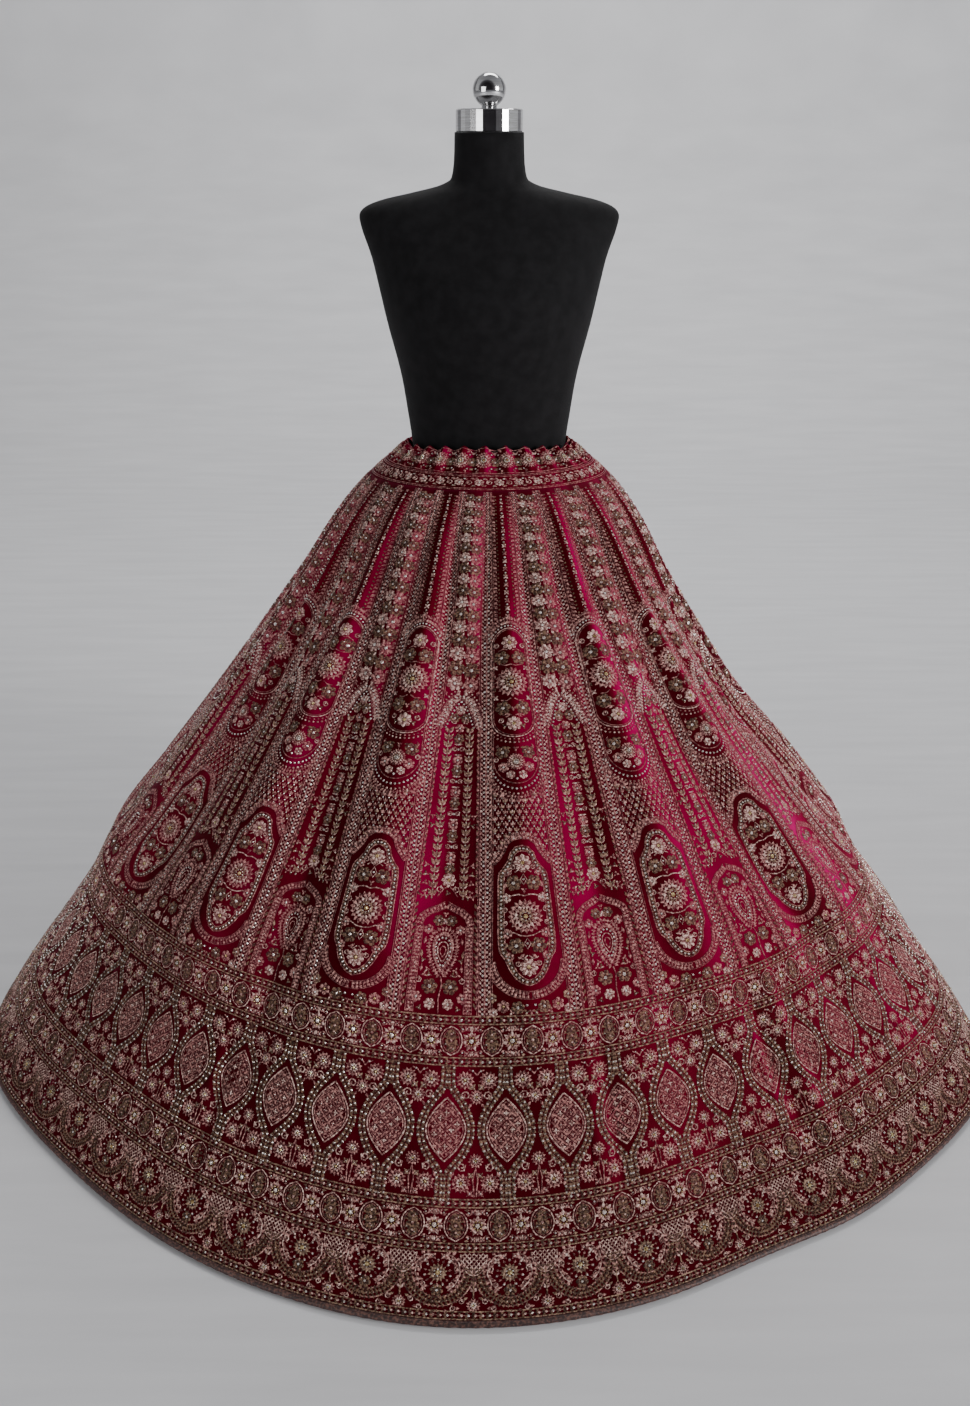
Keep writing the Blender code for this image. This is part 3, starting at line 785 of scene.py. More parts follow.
def draw_capsule(design):
    """First cartouche: an upright capsule of flowers under a double arch, and the cup below it."""
    centre, half, straight = 0.291, 0.0255, 0.052
    pen = Pen(design, 0.0, centre)
    loop = arc(half, half, 90, 270, 15, y=-straight) + arc(half, half, 270, 450, 15, y=straight)
    loop.append(loop[0])
    pen.cord(loop, 0.0015, PALE)
    pen.cord([(x * 0.92, y * 0.97) for x, y in loop], 0.0012, CORD)
    for grow, radius, finish in ((1.15, 0.0015, SILVER), (1.32, 0.0016, PALE)):
        top = arc(half * grow, half * grow, 108, 252, 15, y=-straight)
        bead_line(pen, top, 0.0050, radius, finish)
    for grow, radius, finish in ((1.14, 0.0014, ROSE), (1.30, 0.0015, PALE)):
        foot = arc(half * grow, half * grow, -66, 66, 14, y=straight)
        bead_line(pen, foot, 0.0050, radius, finish)
    crest = arc(half * 1.50, half * 1.46, 112, 248, 13, y=-straight)
    leaf_pairs(pen, crest, 0.0040, 0.0066, 0.0038, ROSE, lean=66.0)
    blossom(pen.moved(0, -0.0565), 0.0105, 8, PALE, GOLD)
    chrysanthemum(pen, 0.0215)
    for here in mirrored(design, 0.0, centre):
        stitch(here, [
            (olive_rosette, 12, -35, 0, 9), (olive_rosette, 12.2, 36.5, 0, 8.8),
            (curl, 18.5, -53, 30, 3.8, PALE), (curl, 15, 54, 120, 3.8, PALE),
            (quatrefoil, 20.5, -21.5, 0, 4.6, PALE), (quatrefoil, 20.5, 21.5, 0, 4.6, PALE),
            (cord, 0, 0, 0, 1.4, ROSE, (3, -45.5), (9, -47.5), (16, -45)),
            (cord, 0, 0, 0, 1.4, ROSE, (0, -25), (7, -23.5), (15, -26)),
            (cord, 0, 0, 0, 1.4, ROSE, (2, 23.5), (7, 26.5), (14, 25.5)),
            (cord, 0, 0, 0, 1.4, ROSE, (2, 47.5), (7, 45), (13, 47)), (leaf, 4, 46, 60, 8, 3.5, ROSE),
            (leaf, 22.5, -6, 200, 7, 3.5, ROSE), (leaf, 22.5, 6, -20, 7, 3.5, OLIVE)
        ])
    blossom(pen.moved(0, 0.0590), 0.0105, 8, PALE, GOLD)
    draw_cup(design)


def draw_cup(design):
    """Bouquet in a cup, and the double beads that hang under it."""
    top, foot, half = 0.381, 0.433, 0.0285
    depth = foot - top
    pen = Pen(design, 0.0, top)
    cup = [(-half, 0.0)] + arc(half, depth * 0.72, 270, 450, 17, y=depth * 0.28) + [(half, 0.0)]
    pen.cord(cup, 0.0015, CORD)
    under = arc(half * 1.13, depth * 0.84, 282, 438, 20, y=depth * 0.30)
    bead_line(pen, under, 0.0052, 0.0016, SILVER)
    bead_line(pen, arc(half * 1.26, depth * 0.98, 286, 434, 20, y=depth * 0.30), 0.0052, 0.0016, PALE)
    leaf_pairs(pen, arc(half * 1.40, depth * 1.12, 290, 430, 20, y=depth * 0.30), 0.0042, 0.0062, 0.0038,
               ROSE, lean=72.0)
    chrysanthemum(pen.moved(0, 0.022), 0.0120, SILVER)
    for here in mirrored(design, 0.0, top):
        stitch(here, [
            (olive_rosette, 16.5, 8.5, 0, 8), (blossom, 15.8, 29, 0, 7.4, 6, ROSE),
            (blossom, 7.5, 40, 0, 6, 6, PALE), (curl, 25, 18.5, 60, 3.6, PALE),
            (leaf, 3, 36, 30, 10, 4.2, ROSE), (leaf, 24, 3, 200, 7, 3.4, ROSE),
            (leaf, 6, 3, 100, 8, 3.6, OLIVE)
        ])
    pen.bead(0, 0.0455, 0.0018, SILVER)


def draw_jaal(design):
    """Field of small upright sprigs between the cup and the large arch."""
    for row, slant in enumerate(np.arange(0.443, 0.534, 0.0080)):
        half = panel_half(slant)
        pen = Pen(design, 0.0, slant)
        for column in range(-4, 5):
            x = (column + 0.5 * (row % 2)) * half / 3.9
            if abs(x) > half * 0.97 or hypot(x / 0.029, (slant - 0.560) / 0.052) < 1.0:
                continue
            if hypot(x / 0.041, (slant - 0.396) / 0.063) < 1.0:
                continue
            finish = ROSE if (row + column) % 3 else SAGE
            pen.leaf(x, 0, 146, 0.0062, 0.0034, finish)
            pen.leaf(x, 0, -146, 0.0062, 0.0034, finish)
            pen.leaf(x, 0, 180, 0.0070, 0.0034, PALE if (row + column) % 2 else ROSE)
            pen.bead(x, 0.0012, 0.0012, SILVER)


OGEE_SHOULDERS = [(0.0, -0.093), (0.009, -0.091), (0.016, -0.084), (0.0195, -0.073), (0.0260, -0.064),
                  (0.0325, -0.057)]


def cartouche_half():
    """Right half of the large cartouche, from its crown to its foot."""
    sides = [(0.0335, -0.046), (0.0340, -0.020), (0.0345, 0.010), (0.0345, 0.034), (0.0330, 0.046)]
    foot = [(0.0265, 0.055), (0.0230, 0.066), (0.0160, 0.078), (0.0080, 0.085), (0.0, 0.088)]
    return OGEE_SHOULDERS + sides + foot


def draw_cartouche(design):
    """Large cartouche with stepped shoulders, its beaded frame, and the rope arches over and under it."""
    centre = 0.611
    pen = Pen(design, 0.0, centre)
    chrysanthemum(pen, 0.0225)
    stitch(pen, [
        (blossom, 0, -70, 0, 11.5, 8, PALE, GOLD), (blossom, 0, 65, 0, 12, 9, PALE, GOLD)
    ])
    for x, y, angle in ((0, -0.0480, 0), (0, 0.0350, 180)):
        here = pen.moved(x, y, angle)
        stitch(here, [
            (cord, 0, 0, 0, 1.4, PALE, (-4, 0), (0, -7), (4, 0), (0, 7), (-4, 0)),
            (bead, 0, 0, 0, 1.6, SILVER)
        ])
    for here in mirrored(design, 0.0, centre):
        smooth = finer(cartouche_half(), 2 * len(cartouche_half()))
        here.cord(smooth, 0.0014, ROSE)
        here.cord(smooth * [0.78, 0.925], 0.0013, ROSE)
        leaf_pairs(here, smooth * [0.89, 0.962], 0.0036, 0.0046, 0.0036, OLIVE, lean=62.0)
        bead_line(here, smooth * [0.89, 0.962], 0.0052, 0.0017)
        stitch(here, [
            (olive_rosette, 13.5, -43.5, 0, 9.2), (olive_rosette, 13.5, 37.5, 0, 9.2),
            (blossom, 23.5, 21.5, 0, 6.6, 6, ROSE), (blossom, 23.5, -24, 0, 6.6, 6, PALE),
            (blossom, 21.5, 51, 0, 5.6, 6, ROSE), (blossom, 20.5, -58, 0, 5.6, 6, ROSE),
            (cord, 0, 0, 0, 1.5, PALE, (0, 25.5), (8, 24.5), (16, 20.5), (21, 21)),
            (cord, 0, 0, 0, 1.5, PALE, (0, -26.5), (8, -28.5), (15, -27.5), (21, -25)),
            (cord, 0, 0, 0, 1.5, PALE, (1, -57.5), (6, -61), (11, -57.5)),
            (cord, 0, 0, 0, 1.5, PALE, (1, 50), (6, 54.5), (12, 52)), (curl, 14, -64, 20, 3.8, PALE),
            (curl, 26.2, -8.5, 80, 3.8, PALE), (curl, 26.5, 8.5, 100, 3.6, PALE),
            (curl, 12.5, 60, 150, 3.8, PALE), (leaf, 4, 48, 50, 10, 4.2, ROSE),
            (leaf, 24.5, -37, 190, 9, 4.2, ROSE), (leaf, 24.5, 33, 10, 9, 4.2, SAGE)
        ])
        arch = [(x + 0.0085 * (1 if x > 0.02 else x / 0.02), y - 0.014) for x, y in OGEE_SHOULDERS]
        rope(here, arch, 0.0092)
        cup = arc(0.0430, 0.0450, 0, 86, 16, y=0.0550)
        rope(here, cup, 0.0096)
        stitch(here, [
            (blossom, 30, 112.5, 0, 8, 6, ROSE, GOLD), (olive_rosette, 14.5, 114.5, 0, 7.4),
            (blossom, 42.5, 102, 0, 6.6, 6, SAGE), (bead, 4.5, 112, 0, 1.6, SILVER),
            (blossom, 41, 119.5, 0, 5.8, 6, PALE)
        ])


def draw_blossom_rows(design):
    """Rows of two blossoms, rose and olive by turns, under the yoke of the leaf panel."""
    row = 0
    slant = 0.014
    while slant < 0.300:
        half = panel_half(slant)
        size = min(0.0112, half * 0.52)
        for side in (-1, 1):
            pen = Pen(design, LEAF_PANEL, slant, mirror=side)
            here = pen.moved(half * 0.46, side * 0.0015)
            if row % 2:
                blossom(here, size, 7, ROSE if side > 0 else PALE, SILVER, 15)
            else:
                olive_rosette(here, size * 0.92)
            pen.leaf(half * 0.10, size * 0.75, 35, size * 0.85, size * 0.40, PALE if row % 2 else ROSE)
            pen.leaf(half * 0.93, size * 0.90, -20, size * 0.7, size * 0.40, ROSE)
            pen.bead(half * 0.92, -size * 0.7, 0.0012, SILVER)
        Pen(design, LEAF_PANEL, slant).bead(0, size * 0.4, 0.0013, SILVER)
        slant += 1.92 * size
        row += 1


def draw_bracket(design):
    """Pointed bracket of double beads, with a bud hanging in it."""
    apex, foot = 0.306, 0.350
    half = panel_half(0.33) * 0.98
    for pen in mirrored(design, LEAF_PANEL, apex):
        line = [(0, 0), (half * 0.14, 0.0012), (half * 0.36, 0.0055), (half * 0.56, 0.0130),
                (half * 0.72, 0.0225), (half * 0.84, 0.0320), (half, foot - apex)]
        rope(pen, line, 0.0112, finish=PALE)
        bead_line(pen, line, 0.0050, 0.0015, SILVER)
        bead_line(pen, shifted(line, -0.0084), 0.0052, 0.0016)
        bead_line(pen, shifted(line, 0.0084), 0.0052, 0.0014, PALE)
        curl(pen.moved(half * 0.30, 0.036, 200), 0.0042, PALE)
        olive_rosette(pen.moved(0.0070, 0.032), 0.0064)
    blossom(Pen(design, LEAF_PANEL, apex + 0.0205), 0.0070, 7, PALE)
    blossom(Pen(design, LEAF_PANEL, apex + 0.0465), 0.0066, 7, ROSE)


def draw_vines(design):
    """Two herringbone vines and a column of little flowers between them."""
    start, end = 0.357, 0.588
    marks = np.linspace(start, end, 24)
    for side in (-1, 1):
        pen = Pen(design, LEAF_PANEL, start, mirror=side)
        scale = float(reach(start)[0])
        stem = [(0.50 * panel_half(mark) * scale / float(reach(mark)[0]), mark - start) for mark in marks]
        pen.cord(stem, 0.0016, SAGE)
        leaf_pairs(pen, stem[::-1], 0.0102, 0.0108, 0.0050, SAGE, lean=36.0)
        leaf_pairs(pen, stem[::-1], 0.0102, 0.0062, 0.0030, PALE, lean=62.0)
        bead_line(pen, stem, 0.0102, 0.0012, SILVER)
        for mark in np.arange(start, end, 0.0086):
            edge = Pen(design, LEAF_PANEL, mark, mirror=side)
            edge.leaf(panel_half(mark) * 0.98, 0, 205, 0.0080, 0.0036, ROSE)
            edge.leaf(panel_half(mark) * 0.90, 0.004, 160, 0.0062, 0.0030, OLIVE)
    for k, slant in enumerate(np.arange(start + 0.010, end - 0.032, 0.0150)):
        pen = Pen(design, LEAF_PANEL, slant)
        if k % 3 == 0:
            olive_rosette(pen, 0.0066)
        elif k % 3 == 1:
            for side in (-1, 1):
                curl(Pen(design, LEAF_PANEL, slant, mirror=side).moved(0.0048, 0), 0.0036, PALE)
            pen.bead(0, 0, 0.0018, SILVER)
        else:
            blossom(pen, 0.0072, 6, ROSE)
        pen.bead(0, 0.0082, 0.0014, SILVER)
        for side in (-1, 1):
            pen.leaf(0, 0.0078, side * 90.0, 0.0060, 0.0028, PALE)
    for pen in mirrored(design, LEAF_PANEL, 0.566):
        stitch(pen, [
            (curl, 11, 8, 150, 5, PALE), (cord, 0, 0, 0, 1.5, ROSE, (1, 4), (6, 8), (13, 18))
        ])
    blossom(Pen(design, LEAF_PANEL, 0.562), 0.0098, 8, PALE, GOLD)


def draw_paisley(design):
    """Pointed arch on slim rails, with a drop-shaped paisley and its flowers, at the leaf panel's foot."""
    apex, spring = 0.594, 0.622
    inner = panel_half(0.64) * 0.74
    for side in (-1, 1):
        pen = Pen(design, LEAF_PANEL, apex, mirror=side)
        rope(pen, [(0, 0), (inner * 0.28, 0.0050), (inner * 0.62, 0.0100), (inner * 0.88, 0.0170),
                   (inner, spring - apex)], 0.0082)
        marks = np.linspace(spring, LINE_A - 0.007, 24)
        scale = float(reach(apex)[0])
        line = [((panel_half(mark) * 0.74) * scale / float(reach(mark)[0]), mark - apex) for mark in marks]
        rope(pen, line, 0.0086)
        bead_line(pen, line, 0.0052, 0.0013, PALE)
        stitch(pen, [
            (olive_rosette, 8, 21.5, 0, 6.6), (blossom, 19.5, 33.5, 0, 6.4, 6, ROSE),
            (olive_rosette, 11.5, 106, 0, 9), (blossom, 25.5, 120, 0, 7.4, 7, ROSE),
            (blossom, 10, 127.5, 0, 7.4, 7, PALE), (curl, 25, 98, 140, 4.2, PALE),
            (leaf, 23.5, 88, 185, 10, 4.4, ROSE), (leaf, 24, 70, 175, 10, 4.4, SAGE),
            (leaf, 23, 53, 190, 10, 4.4, ROSE)
        ])
        for mark in np.arange(0.600, LINE_A - 0.010, 0.0090):
            edge = Pen(design, LEAF_PANEL, mark, mirror=side)
            edge.leaf(panel_half(mark) * 0.94, 0, 200, 0.0080, 0.0040, OLIVE)
            edge.leaf(panel_half(mark) * 0.94, 0.002, 160, 0.0080, 0.0036, ROSE)
    pen = Pen(design, LEAF_PANEL, 0.655)
    drop = []
    for turn in np.linspace(0, 2 * pi, 29):
        drop.append((0.0172 * sin(turn) * sin(turn / 2) ** 0.8 * 1.10, 0.0285 * cos(turn) + 0.002))
    pen.cord(np.array(drop) * 0.84, 0.0014, PALE)
    pen.cord(np.array(drop) * 0.46, 0.0014, PALE)
    pen.cord(np.array(drop) * 0.24, 0.0014, ROSE)
    leaf_pairs(pen, drop, 0.0038, 0.0070, 0.0046, ROSE, lean=78.0)
    bead_line(pen, np.array(drop) * 0.66, 0.0050, 0.0016)
    stitch(pen, [
        (cord, 0, 0, 0, 1.6, ROSE, (0, 32), (2, 42), (-1, 60), (0, 78)),
        (quatrefoil, 0, -38.5, 0, 6.2, PALE)
    ])


def inside_capsule(slant):
    past = max(abs(slant - 0.291) - 0.052, 0.0)
    return 0.0232 * max(1.0 - (past / 0.0232) ** 2, 0.0) ** 0.5


def inside_cup(slant):
    past = max(slant - 0.398, 0.0)
    return 0.0262 * max(1.0 - (past / 0.031) ** 2, 0.0) ** 0.5


def inside_cartouche(slant):
    line = np.array(cartouche_half())
    return 0.74 * float(np.interp(slant - 0.611, 0.93 * line[:, 1], line[:, 0], left=0.0, right=0.0))


def inside_panel(slant):
    return 0.94 * panel_half(slant)


def inside_paisley(slant):
    return 0.58 * panel_half(slant) * smoothstep(0.602, 0.630, slant)


KALI_FILL_ZONES = [
    (0.0, 0.012, 0.200, inside_panel), (0.0, 0.222, 0.362, inside_capsule), (0.0, 0.386, 0.430, inside_cup),
    (0.0, 0.530, 0.690, inside_cartouche), (0.0, 0.708, 0.734, inside_panel),
    (LEAF_PANEL, 0.010, 0.300, inside_panel), (LEAF_PANEL, 0.352, 0.590, inside_panel),
    (LEAF_PANEL, 0.608, 0.734, inside_paisley),
]


def kali_design():
    design = Design()
    draw_rail(design, -RAIL_DEGREES)
    draw_rail(design, RAIL_DEGREES)
    draw_capsule_top(design)
    draw_capsule(design)
    draw_jaal(design)
    draw_cartouche(design)
    draw_blossom_rows(design)
    draw_bracket(design)
    draw_vines(design)
    draw_paisley(design)
    for zone in KALI_FILL_ZONES:
        fill_gaps(design, *zone)
    return design


# Borders, one repeat each; a repeat is centred on 0 degrees
BORDER_REPEATS = {"upper_medallions": 76, "ogees": 56, "lower_medallions": 88, "scallops": 56}


def medallion_repeat(step, middle, tall):
    """Framed oval, and a round flower with corner sprigs beside it."""
    design = Design()
    pen = Pen(design, 0.0, middle)
    wide = 0.27 * step * float(reach(middle)[0])
    oval = [(wide * max(1.0 - abs(y) ** 2.0, 0.0) ** 0.62 * side, y * tall)
            for side, run in ((1, np.linspace(-1, 1, 9)), (-1, np.linspace(1, -1, 9))) for y in run]
    pen.cord(oval, 0.0016, PALE)
    pen.cord([(x * 0.78, y * 0.84) for x, y in oval], 0.0013, CORD)
    for y in (-0.45, 0.0, 0.45):
        blossom(pen.moved(0, y * tall), wide * (0.50 if y else 0.62), 5, OLIVE, PALE, 30 * y)
    for k, (angle, x, y) in enumerate(turns(8, 22.5)):
        pen.leaf(0.50 * wide * x, 0.58 * tall * y, angle, 0.0052, 0.0034, OLIVE)
        if k % 3 == 0:
            pen.bead(0.52 * wide * x, 0.60 * tall * y, 0.0011, SILVER)
    beside = Pen(design, step / 2, middle)
    size = min(0.0122, 0.245 * step * float(reach(middle)[0]))
    for k, (angle, x, y) in enumerate(turns(14)):
        length, finish = (0.68, PALE) if k % 2 else (0.52, ROSE)
        beside.leaf(0.38 * size * x, 0.38 * size * y, angle, length * size, 0.40 * size, finish)
    beside.bead(0, 0, 0.26 * size, SILVER)
    for _, x, y in turns(7):
        beside.bead(0.40 * size * x, 0.40 * size * y, 0.0013, GOLD)
    for side in (-1, 1):
        for end in (-1, 1):
            here = Pen(design, step / 2, middle, mirror=side)
            quatrefoil(here.moved(0.0056, end * tall * 0.86), 0.0050, ROSE)
            here.leaf(0.001, end * tall * 0.66, 0 if end > 0 else 180, 0.0070, 0.0034, PALE)
            here.leaf(0.0096, end * tall * 0.62, 60 if end > 0 else 120, 0.0056, 0.0032, ROSE)
            here.bead(0.0110, end * tall * 0.80, 0.0013, SILVER)
            here.leaf(0.0100, end * tall * 0.98, 90, 0.0060, 0.0034, SAGE)
    return design


def ogee_line():
    """Right side of the ogee round a pointed oval, from the stem above to the stem below."""
    return [(0.0042, -0.0790), (0.0042, -0.0600), (0.0050, -0.0520), (0.0105, -0.0440), (0.0185, -0.0340),
            (0.0255, -0.0220), (0.0300, -0.0090), (0.0308, 0.0), (0.0300, 0.0090), (0.0255, 0.0220),
            (0.0185, 0.0340), (0.0105, 0.0440), (0.0050, 0.0520), (0.0042, 0.0600), (0.0042, 0.0850)]


def lens_half(y, wide, tall):
    return wide * max(1.0 - (abs(y) / tall) ** 1.75, 0.0)


def ogee_repeat(step):
    """Pointed oval filled with a small lattice, its beaded ogee, and flower triads between the ogees."""
    design = Design()
    middle = 0.872
    pen = Pen(design, 0.0, middle)
    tall, wide = 0.0385, 0.0242
    for grow, width, finish in ((1.0, 0.0019, PALE), (0.88, 0.0014, ROSE)):
        run = np.linspace(-1, 1, 15) * tall
        lens = [(grow * lens_half(y, wide, tall), grow * y) for y in run]
        lens += [(-grow * lens_half(y, wide, tall), grow * y) for y in run[::-1]]
        pen.cord(lens, width, finish)
    cell = 0.0136
    for k in range(-5, 6):
        for hand in (-1, 1):
            line = [(hand * (t + k * cell), t) for t in np.linspace(-0.040, 0.040, 49)]
            line = [(x, y) for x, y in line if abs(x) < 0.86 * lens_half(y, wide, tall)]
            if len(line) > 3:
                for offset in (-0.0008, 0.0008):
                    pen.cord([(x + offset, y) for x, y in (line[0], line[-1])], 0.0013, ROSE)
    for row in range(-6, 7):
        for column in range(-3, 4):
            x, y = column * cell + (0.0 if row % 2 else cell / 2), row * cell / 2
            if abs(x) < 0.84 * lens_half(y, wide, tall) and abs(y) < 0.033:
                quatrefoil(pen.moved(x, y, 45), 0.0044, PALE if (row + column) % 3 == 0 else ROSE)
    for here in mirrored(design, 0.0, middle):
        line = finer(ogee_line(), 30)
        leaf_pairs(here, line, 0.0048, 0.0062, 0.0056, OLIVE, lean=62.0)
        bead_line(here, line, 0.0082, 0.0019, SILVER, offset=0.0030)
        bead_line(here, line[1:], 0.0082, 0.0018, SILVER, offset=-0.0026)
    for here in mirrored(design, step / 2, middle):
        stitch(here, [
            (daisy, 15, -60, 0, 11.6), (daisy, 16.5, 64, 0, 12.2),
            (curl, 13.5, -41.5, -20, 5.6, PALE, 0.0018), (curl, 16, 44, 200, 5.6, PALE, 0.0018),
            (cord, 0, 0, 0, 1.6, ROSE, (0, -66), (4, -71), (10, -73)),
            (cord, 0, 0, 0, 1.6, ROSE, (0, 46), (3, 60), (1, 80)), (quatrefoil, 5.6, -52, 0, 5.6, SAGE),
            (quatrefoil, 6, 76, 0, 5.6, ROSE), (quatrefoil, 5.4, 54.5, 0, 5, SAGE),
            (bead, 5.2, -71.5, 0, 1.5, SILVER), (leaf, 25, 50, 20, 9, 4.2, ROSE),
            (leaf, 27.5, 74, 160, 8, 4, ROSE), (leaf, 6, -33, 30, 7.5, 3.6, ROSE)
        ])
    daisy(Pen(design, step / 2, middle - 0.0400), 0.0094)
    daisy(Pen(design, step / 2, middle + 0.0370), 0.0094)
    return design


def scallop_outer(slant):
    """Half width of a scallop's outer edge, in metres."""
    y = slant - LINE_D - 0.007
    return 0.0430 * max(1.0 - (max(y - 0.018, 0.0) / 0.0480) ** 2, 0.0) ** 0.5


def scallop_repeat(step):
    """Hanging scallop with a flower in a ring of beads, and the lattice fan and sprays beside it."""
    design = Design()
    top = LINE_D + 0.007
    pen = Pen(design, 0.0, top)
    pen.cord(arc(0.0310, 0.0370, 262, 458, 21, y=0.018), 0.0015, ROSE)
    pen.cord(arc(0.0430, 0.0480, 270, 450, 24, y=0.018), 0.0015, ROSE)
    for radius_x, radius_y, length in ((0.0345, 0.0402, 0.0058), (0.0395, 0.0447, 0.0058)):
        ticks = arc(radius_x, radius_y, 268, 452, 26, y=0.018)
        leaf_pairs(pen, ticks, 0.0048, length, 0.0050, OLIVE, lean=80.0)
    bead_line(pen, arc(0.0370, 0.0425, 268, 452, 26, y=0.018), 0.0080, 0.0012, PALE)
    flower = pen.moved(0, 0.0245)
    for k, (angle, x, y) in enumerate(turns(14)):
        flower.leaf(0.0040 * x, 0.0040 * y, angle, 0.0082, 0.0048, SAGE)
        if k % 2:
            flower.bead(0.0158 * x, 0.0158 * y, 0.0016, SILVER)
        flower.leaf(0.0128 * x, 0.0128 * y, angle, 0.0046, 0.0030, ROSE)
    for _, x, y in turns(6):
        flower.bead(0.0042 * x, 0.0042 * y, 0.0013, SILVER)
    flower.bead(0, 0, 0.0034, GOLD)
    olive_rosette(pen.moved(0, 0.0462), 0.0070)
    for here in mirrored(design, 0.0, top):
        stem = [(0.006, 0.002), (0.0160, 0.003), (0.0245, 0.012), (0.0262, 0.026), (0.0210, 0.038),
                (0.0125, 0.0465)]
        here.cord(stem, 0.0016, PALE)
        leaf_pairs(here, stem, 0.0066, 0.0084, 0.0046, ROSE, lean=52.0)
        stitch(here, [
            (quatrefoil, 15, 9, 0, 5.6, PALE), (curl, 22.5, 20, 30, 4, PALE),
            (curl, 17, 39.5, 60, 3.6, PALE), (quatrefoil, 6.6, 4, 0, 5.2, ROSE)
        ])
    between = Pen(design, step / 2, top)
    fan_wide, fan_tall = 0.0158, 0.0260
    between.cord(arc(fan_wide, fan_tall, -90, 90, 13, y=0.001), 0.0015, PALE)
    for k in range(-6, 7):
        for hand in (-1, 1):
            line = [(k * 0.0054 + hand * t, 1.2 * t) for t in np.linspace(0.0, 0.022, 17)]
            line = [(x, y) for x, y in line if hypot(x / fan_wide, y / fan_tall) < 0.97]
            if len(line) > 2:
                between.cord([line[0], line[-1]], 0.0014, PALE)
    between.cord([(0, 0.028), (0, 0.056)], 0.0018, SAGE)
    for y in (0.034, 0.041, 0.048):
        for side in (-1, 1):
            between.leaf(0, y, side * 150, 0.10 * y + 0.0030, 0.0044, ROSE if y < 0.045 else PALE)
    daisy(between.moved(0, 0.0640), 0.0088)
    for here in mirrored(design, step / 2, top):
        stitch(here, [
            (curl, 13.5, 59, 120, 3.8, PALE), (curl, 23.5, 68, 110, 3.6, PALE),
            (leaf, 15, 68, 95, 8.4, 3.8, ROSE), (leaf, 28, 71.5, 90, 8.4, 3.6, ROSE),
            (leaf, 37.5, 71.8, 90, 7, 3.4, SAGE), (leaf, 6, 54, 60, 8, 3.6, SAGE)
        ])
    fill_gaps(design, 0.0, top + 0.002, top + 0.050,
              lambda slant: 0.0280 * max(1.0 - (max(slant - top - 0.018, 0.0) / 0.0350) ** 2, 0.0) ** 0.5,
              0.0062, 0.0052)
    fill_gaps(design, step / 2, top + 0.030, top + 0.073,
              lambda slant: step / 2 * float(reach(slant)[0]) - scallop_outer(slant) - 0.002, 0.0062, 0.0052)
    return design


def border_line(slant, count):
    """Row of small beads on a braid between two cords, all round."""
    design = Design()
    ring = np.linspace(0.0, 360.0, 289)
    for offset, width, finish in ((-0.0047, 0.0018, SAGE), (0.0047, 0.0018, SAGE), (0.0, 0.0012, CORD)):
        design.cord([(mark, slant + offset) for mark in ring], width, finish)
    pitch = 360.0 / count
    for k in range(count):
        design.bead((k * pitch, slant), 0.0019, PALE if k % 3 else SILVER)
        for side in (-1, 1):
            design.leaf(((k + 0.5) * pitch, slant + 0.0008 * side), 90.0 - side * 40.0, 0.0046, 0.0036, OLIVE)
    return design


def yoke_design():
    """Fine scrollwork with beads, between double cords, round the yoke band."""
    design = Design()
    ring = np.linspace(0.0, 360.0, 181)
    for slant in (-0.0285, -0.0262, -0.0038, -0.0015):
        design.cord([(mark, slant) for mark in ring], 0.0011, ROSE)
    repeats = 72
    step = 360.0 / repeats
    for k in range(repeats):
        pen = Pen(design, k * step, -0.015, mirror=1 if k % 2 else -1)
        if k % 2:
            blossom(pen, 0.0066, 7, PALE)
        else:
            stitch(pen, [
                (curl, 0, 1, 20, 4.4, PALE), (leaf, 2, -3, 150, 7, 3.4, ROSE)
            ])
        stitch(pen, [
            (leaf, 3, 4.5, 60, 7, 3.4, OLIVE), (leaf, -3, -4.5, 240, 7, 3.4, ROSE),
            (leaf, -4.5, 5, 300, 6.2, 3, SAGE), (bead, 5.8, -6.6, 0, 1.2, SILVER),
            (bead, -5.5, 6.6, 0, 1.2, SILVER), (leaf, 5.5, 8, 120, 5, 2.8, ROSE),
            (leaf, -5, -8.5, 60, 5, 2.8, PALE)
        ])
    return design


def casing_design():
    """A flower medallion on each gather of the casing, with leaves in the folds between."""
    design = Design()
    step = 360.0 / CASING_GATHERS
    for k in range(CASING_GATHERS):
        crest = FIRST_SEAM + k * step
        pen = Pen(design, crest, -0.051)
        chrysanthemum(pen, 0.0120)
        for here in mirrored(design, crest, -0.051):
            stitch(here, [
                (olive_rosette, 15, 1, 0, 6.2), (leaf, 6, -12.5, 150, 7, 3.6, ROSE),
                (leaf, 13, -10.5, 130, 7.4, 3.6, PALE), (leaf, 6, 13, 30, 6, 3.4, ROSE),
                (leaf, 12, 11, 60, 6.4, 3.4, SAGE), (bead, 10, -10, 0, 1.3, SILVER),
                (bead, 9.5, 11.8, 0, 1.3, SILVER)
            ])
    ring = np.linspace(0.0, 360.0, 361)
    for slant in (-0.0686, -0.0318):
        design.cord([(mark, slant) for mark in ring], 0.0013, ROSE)
    return design


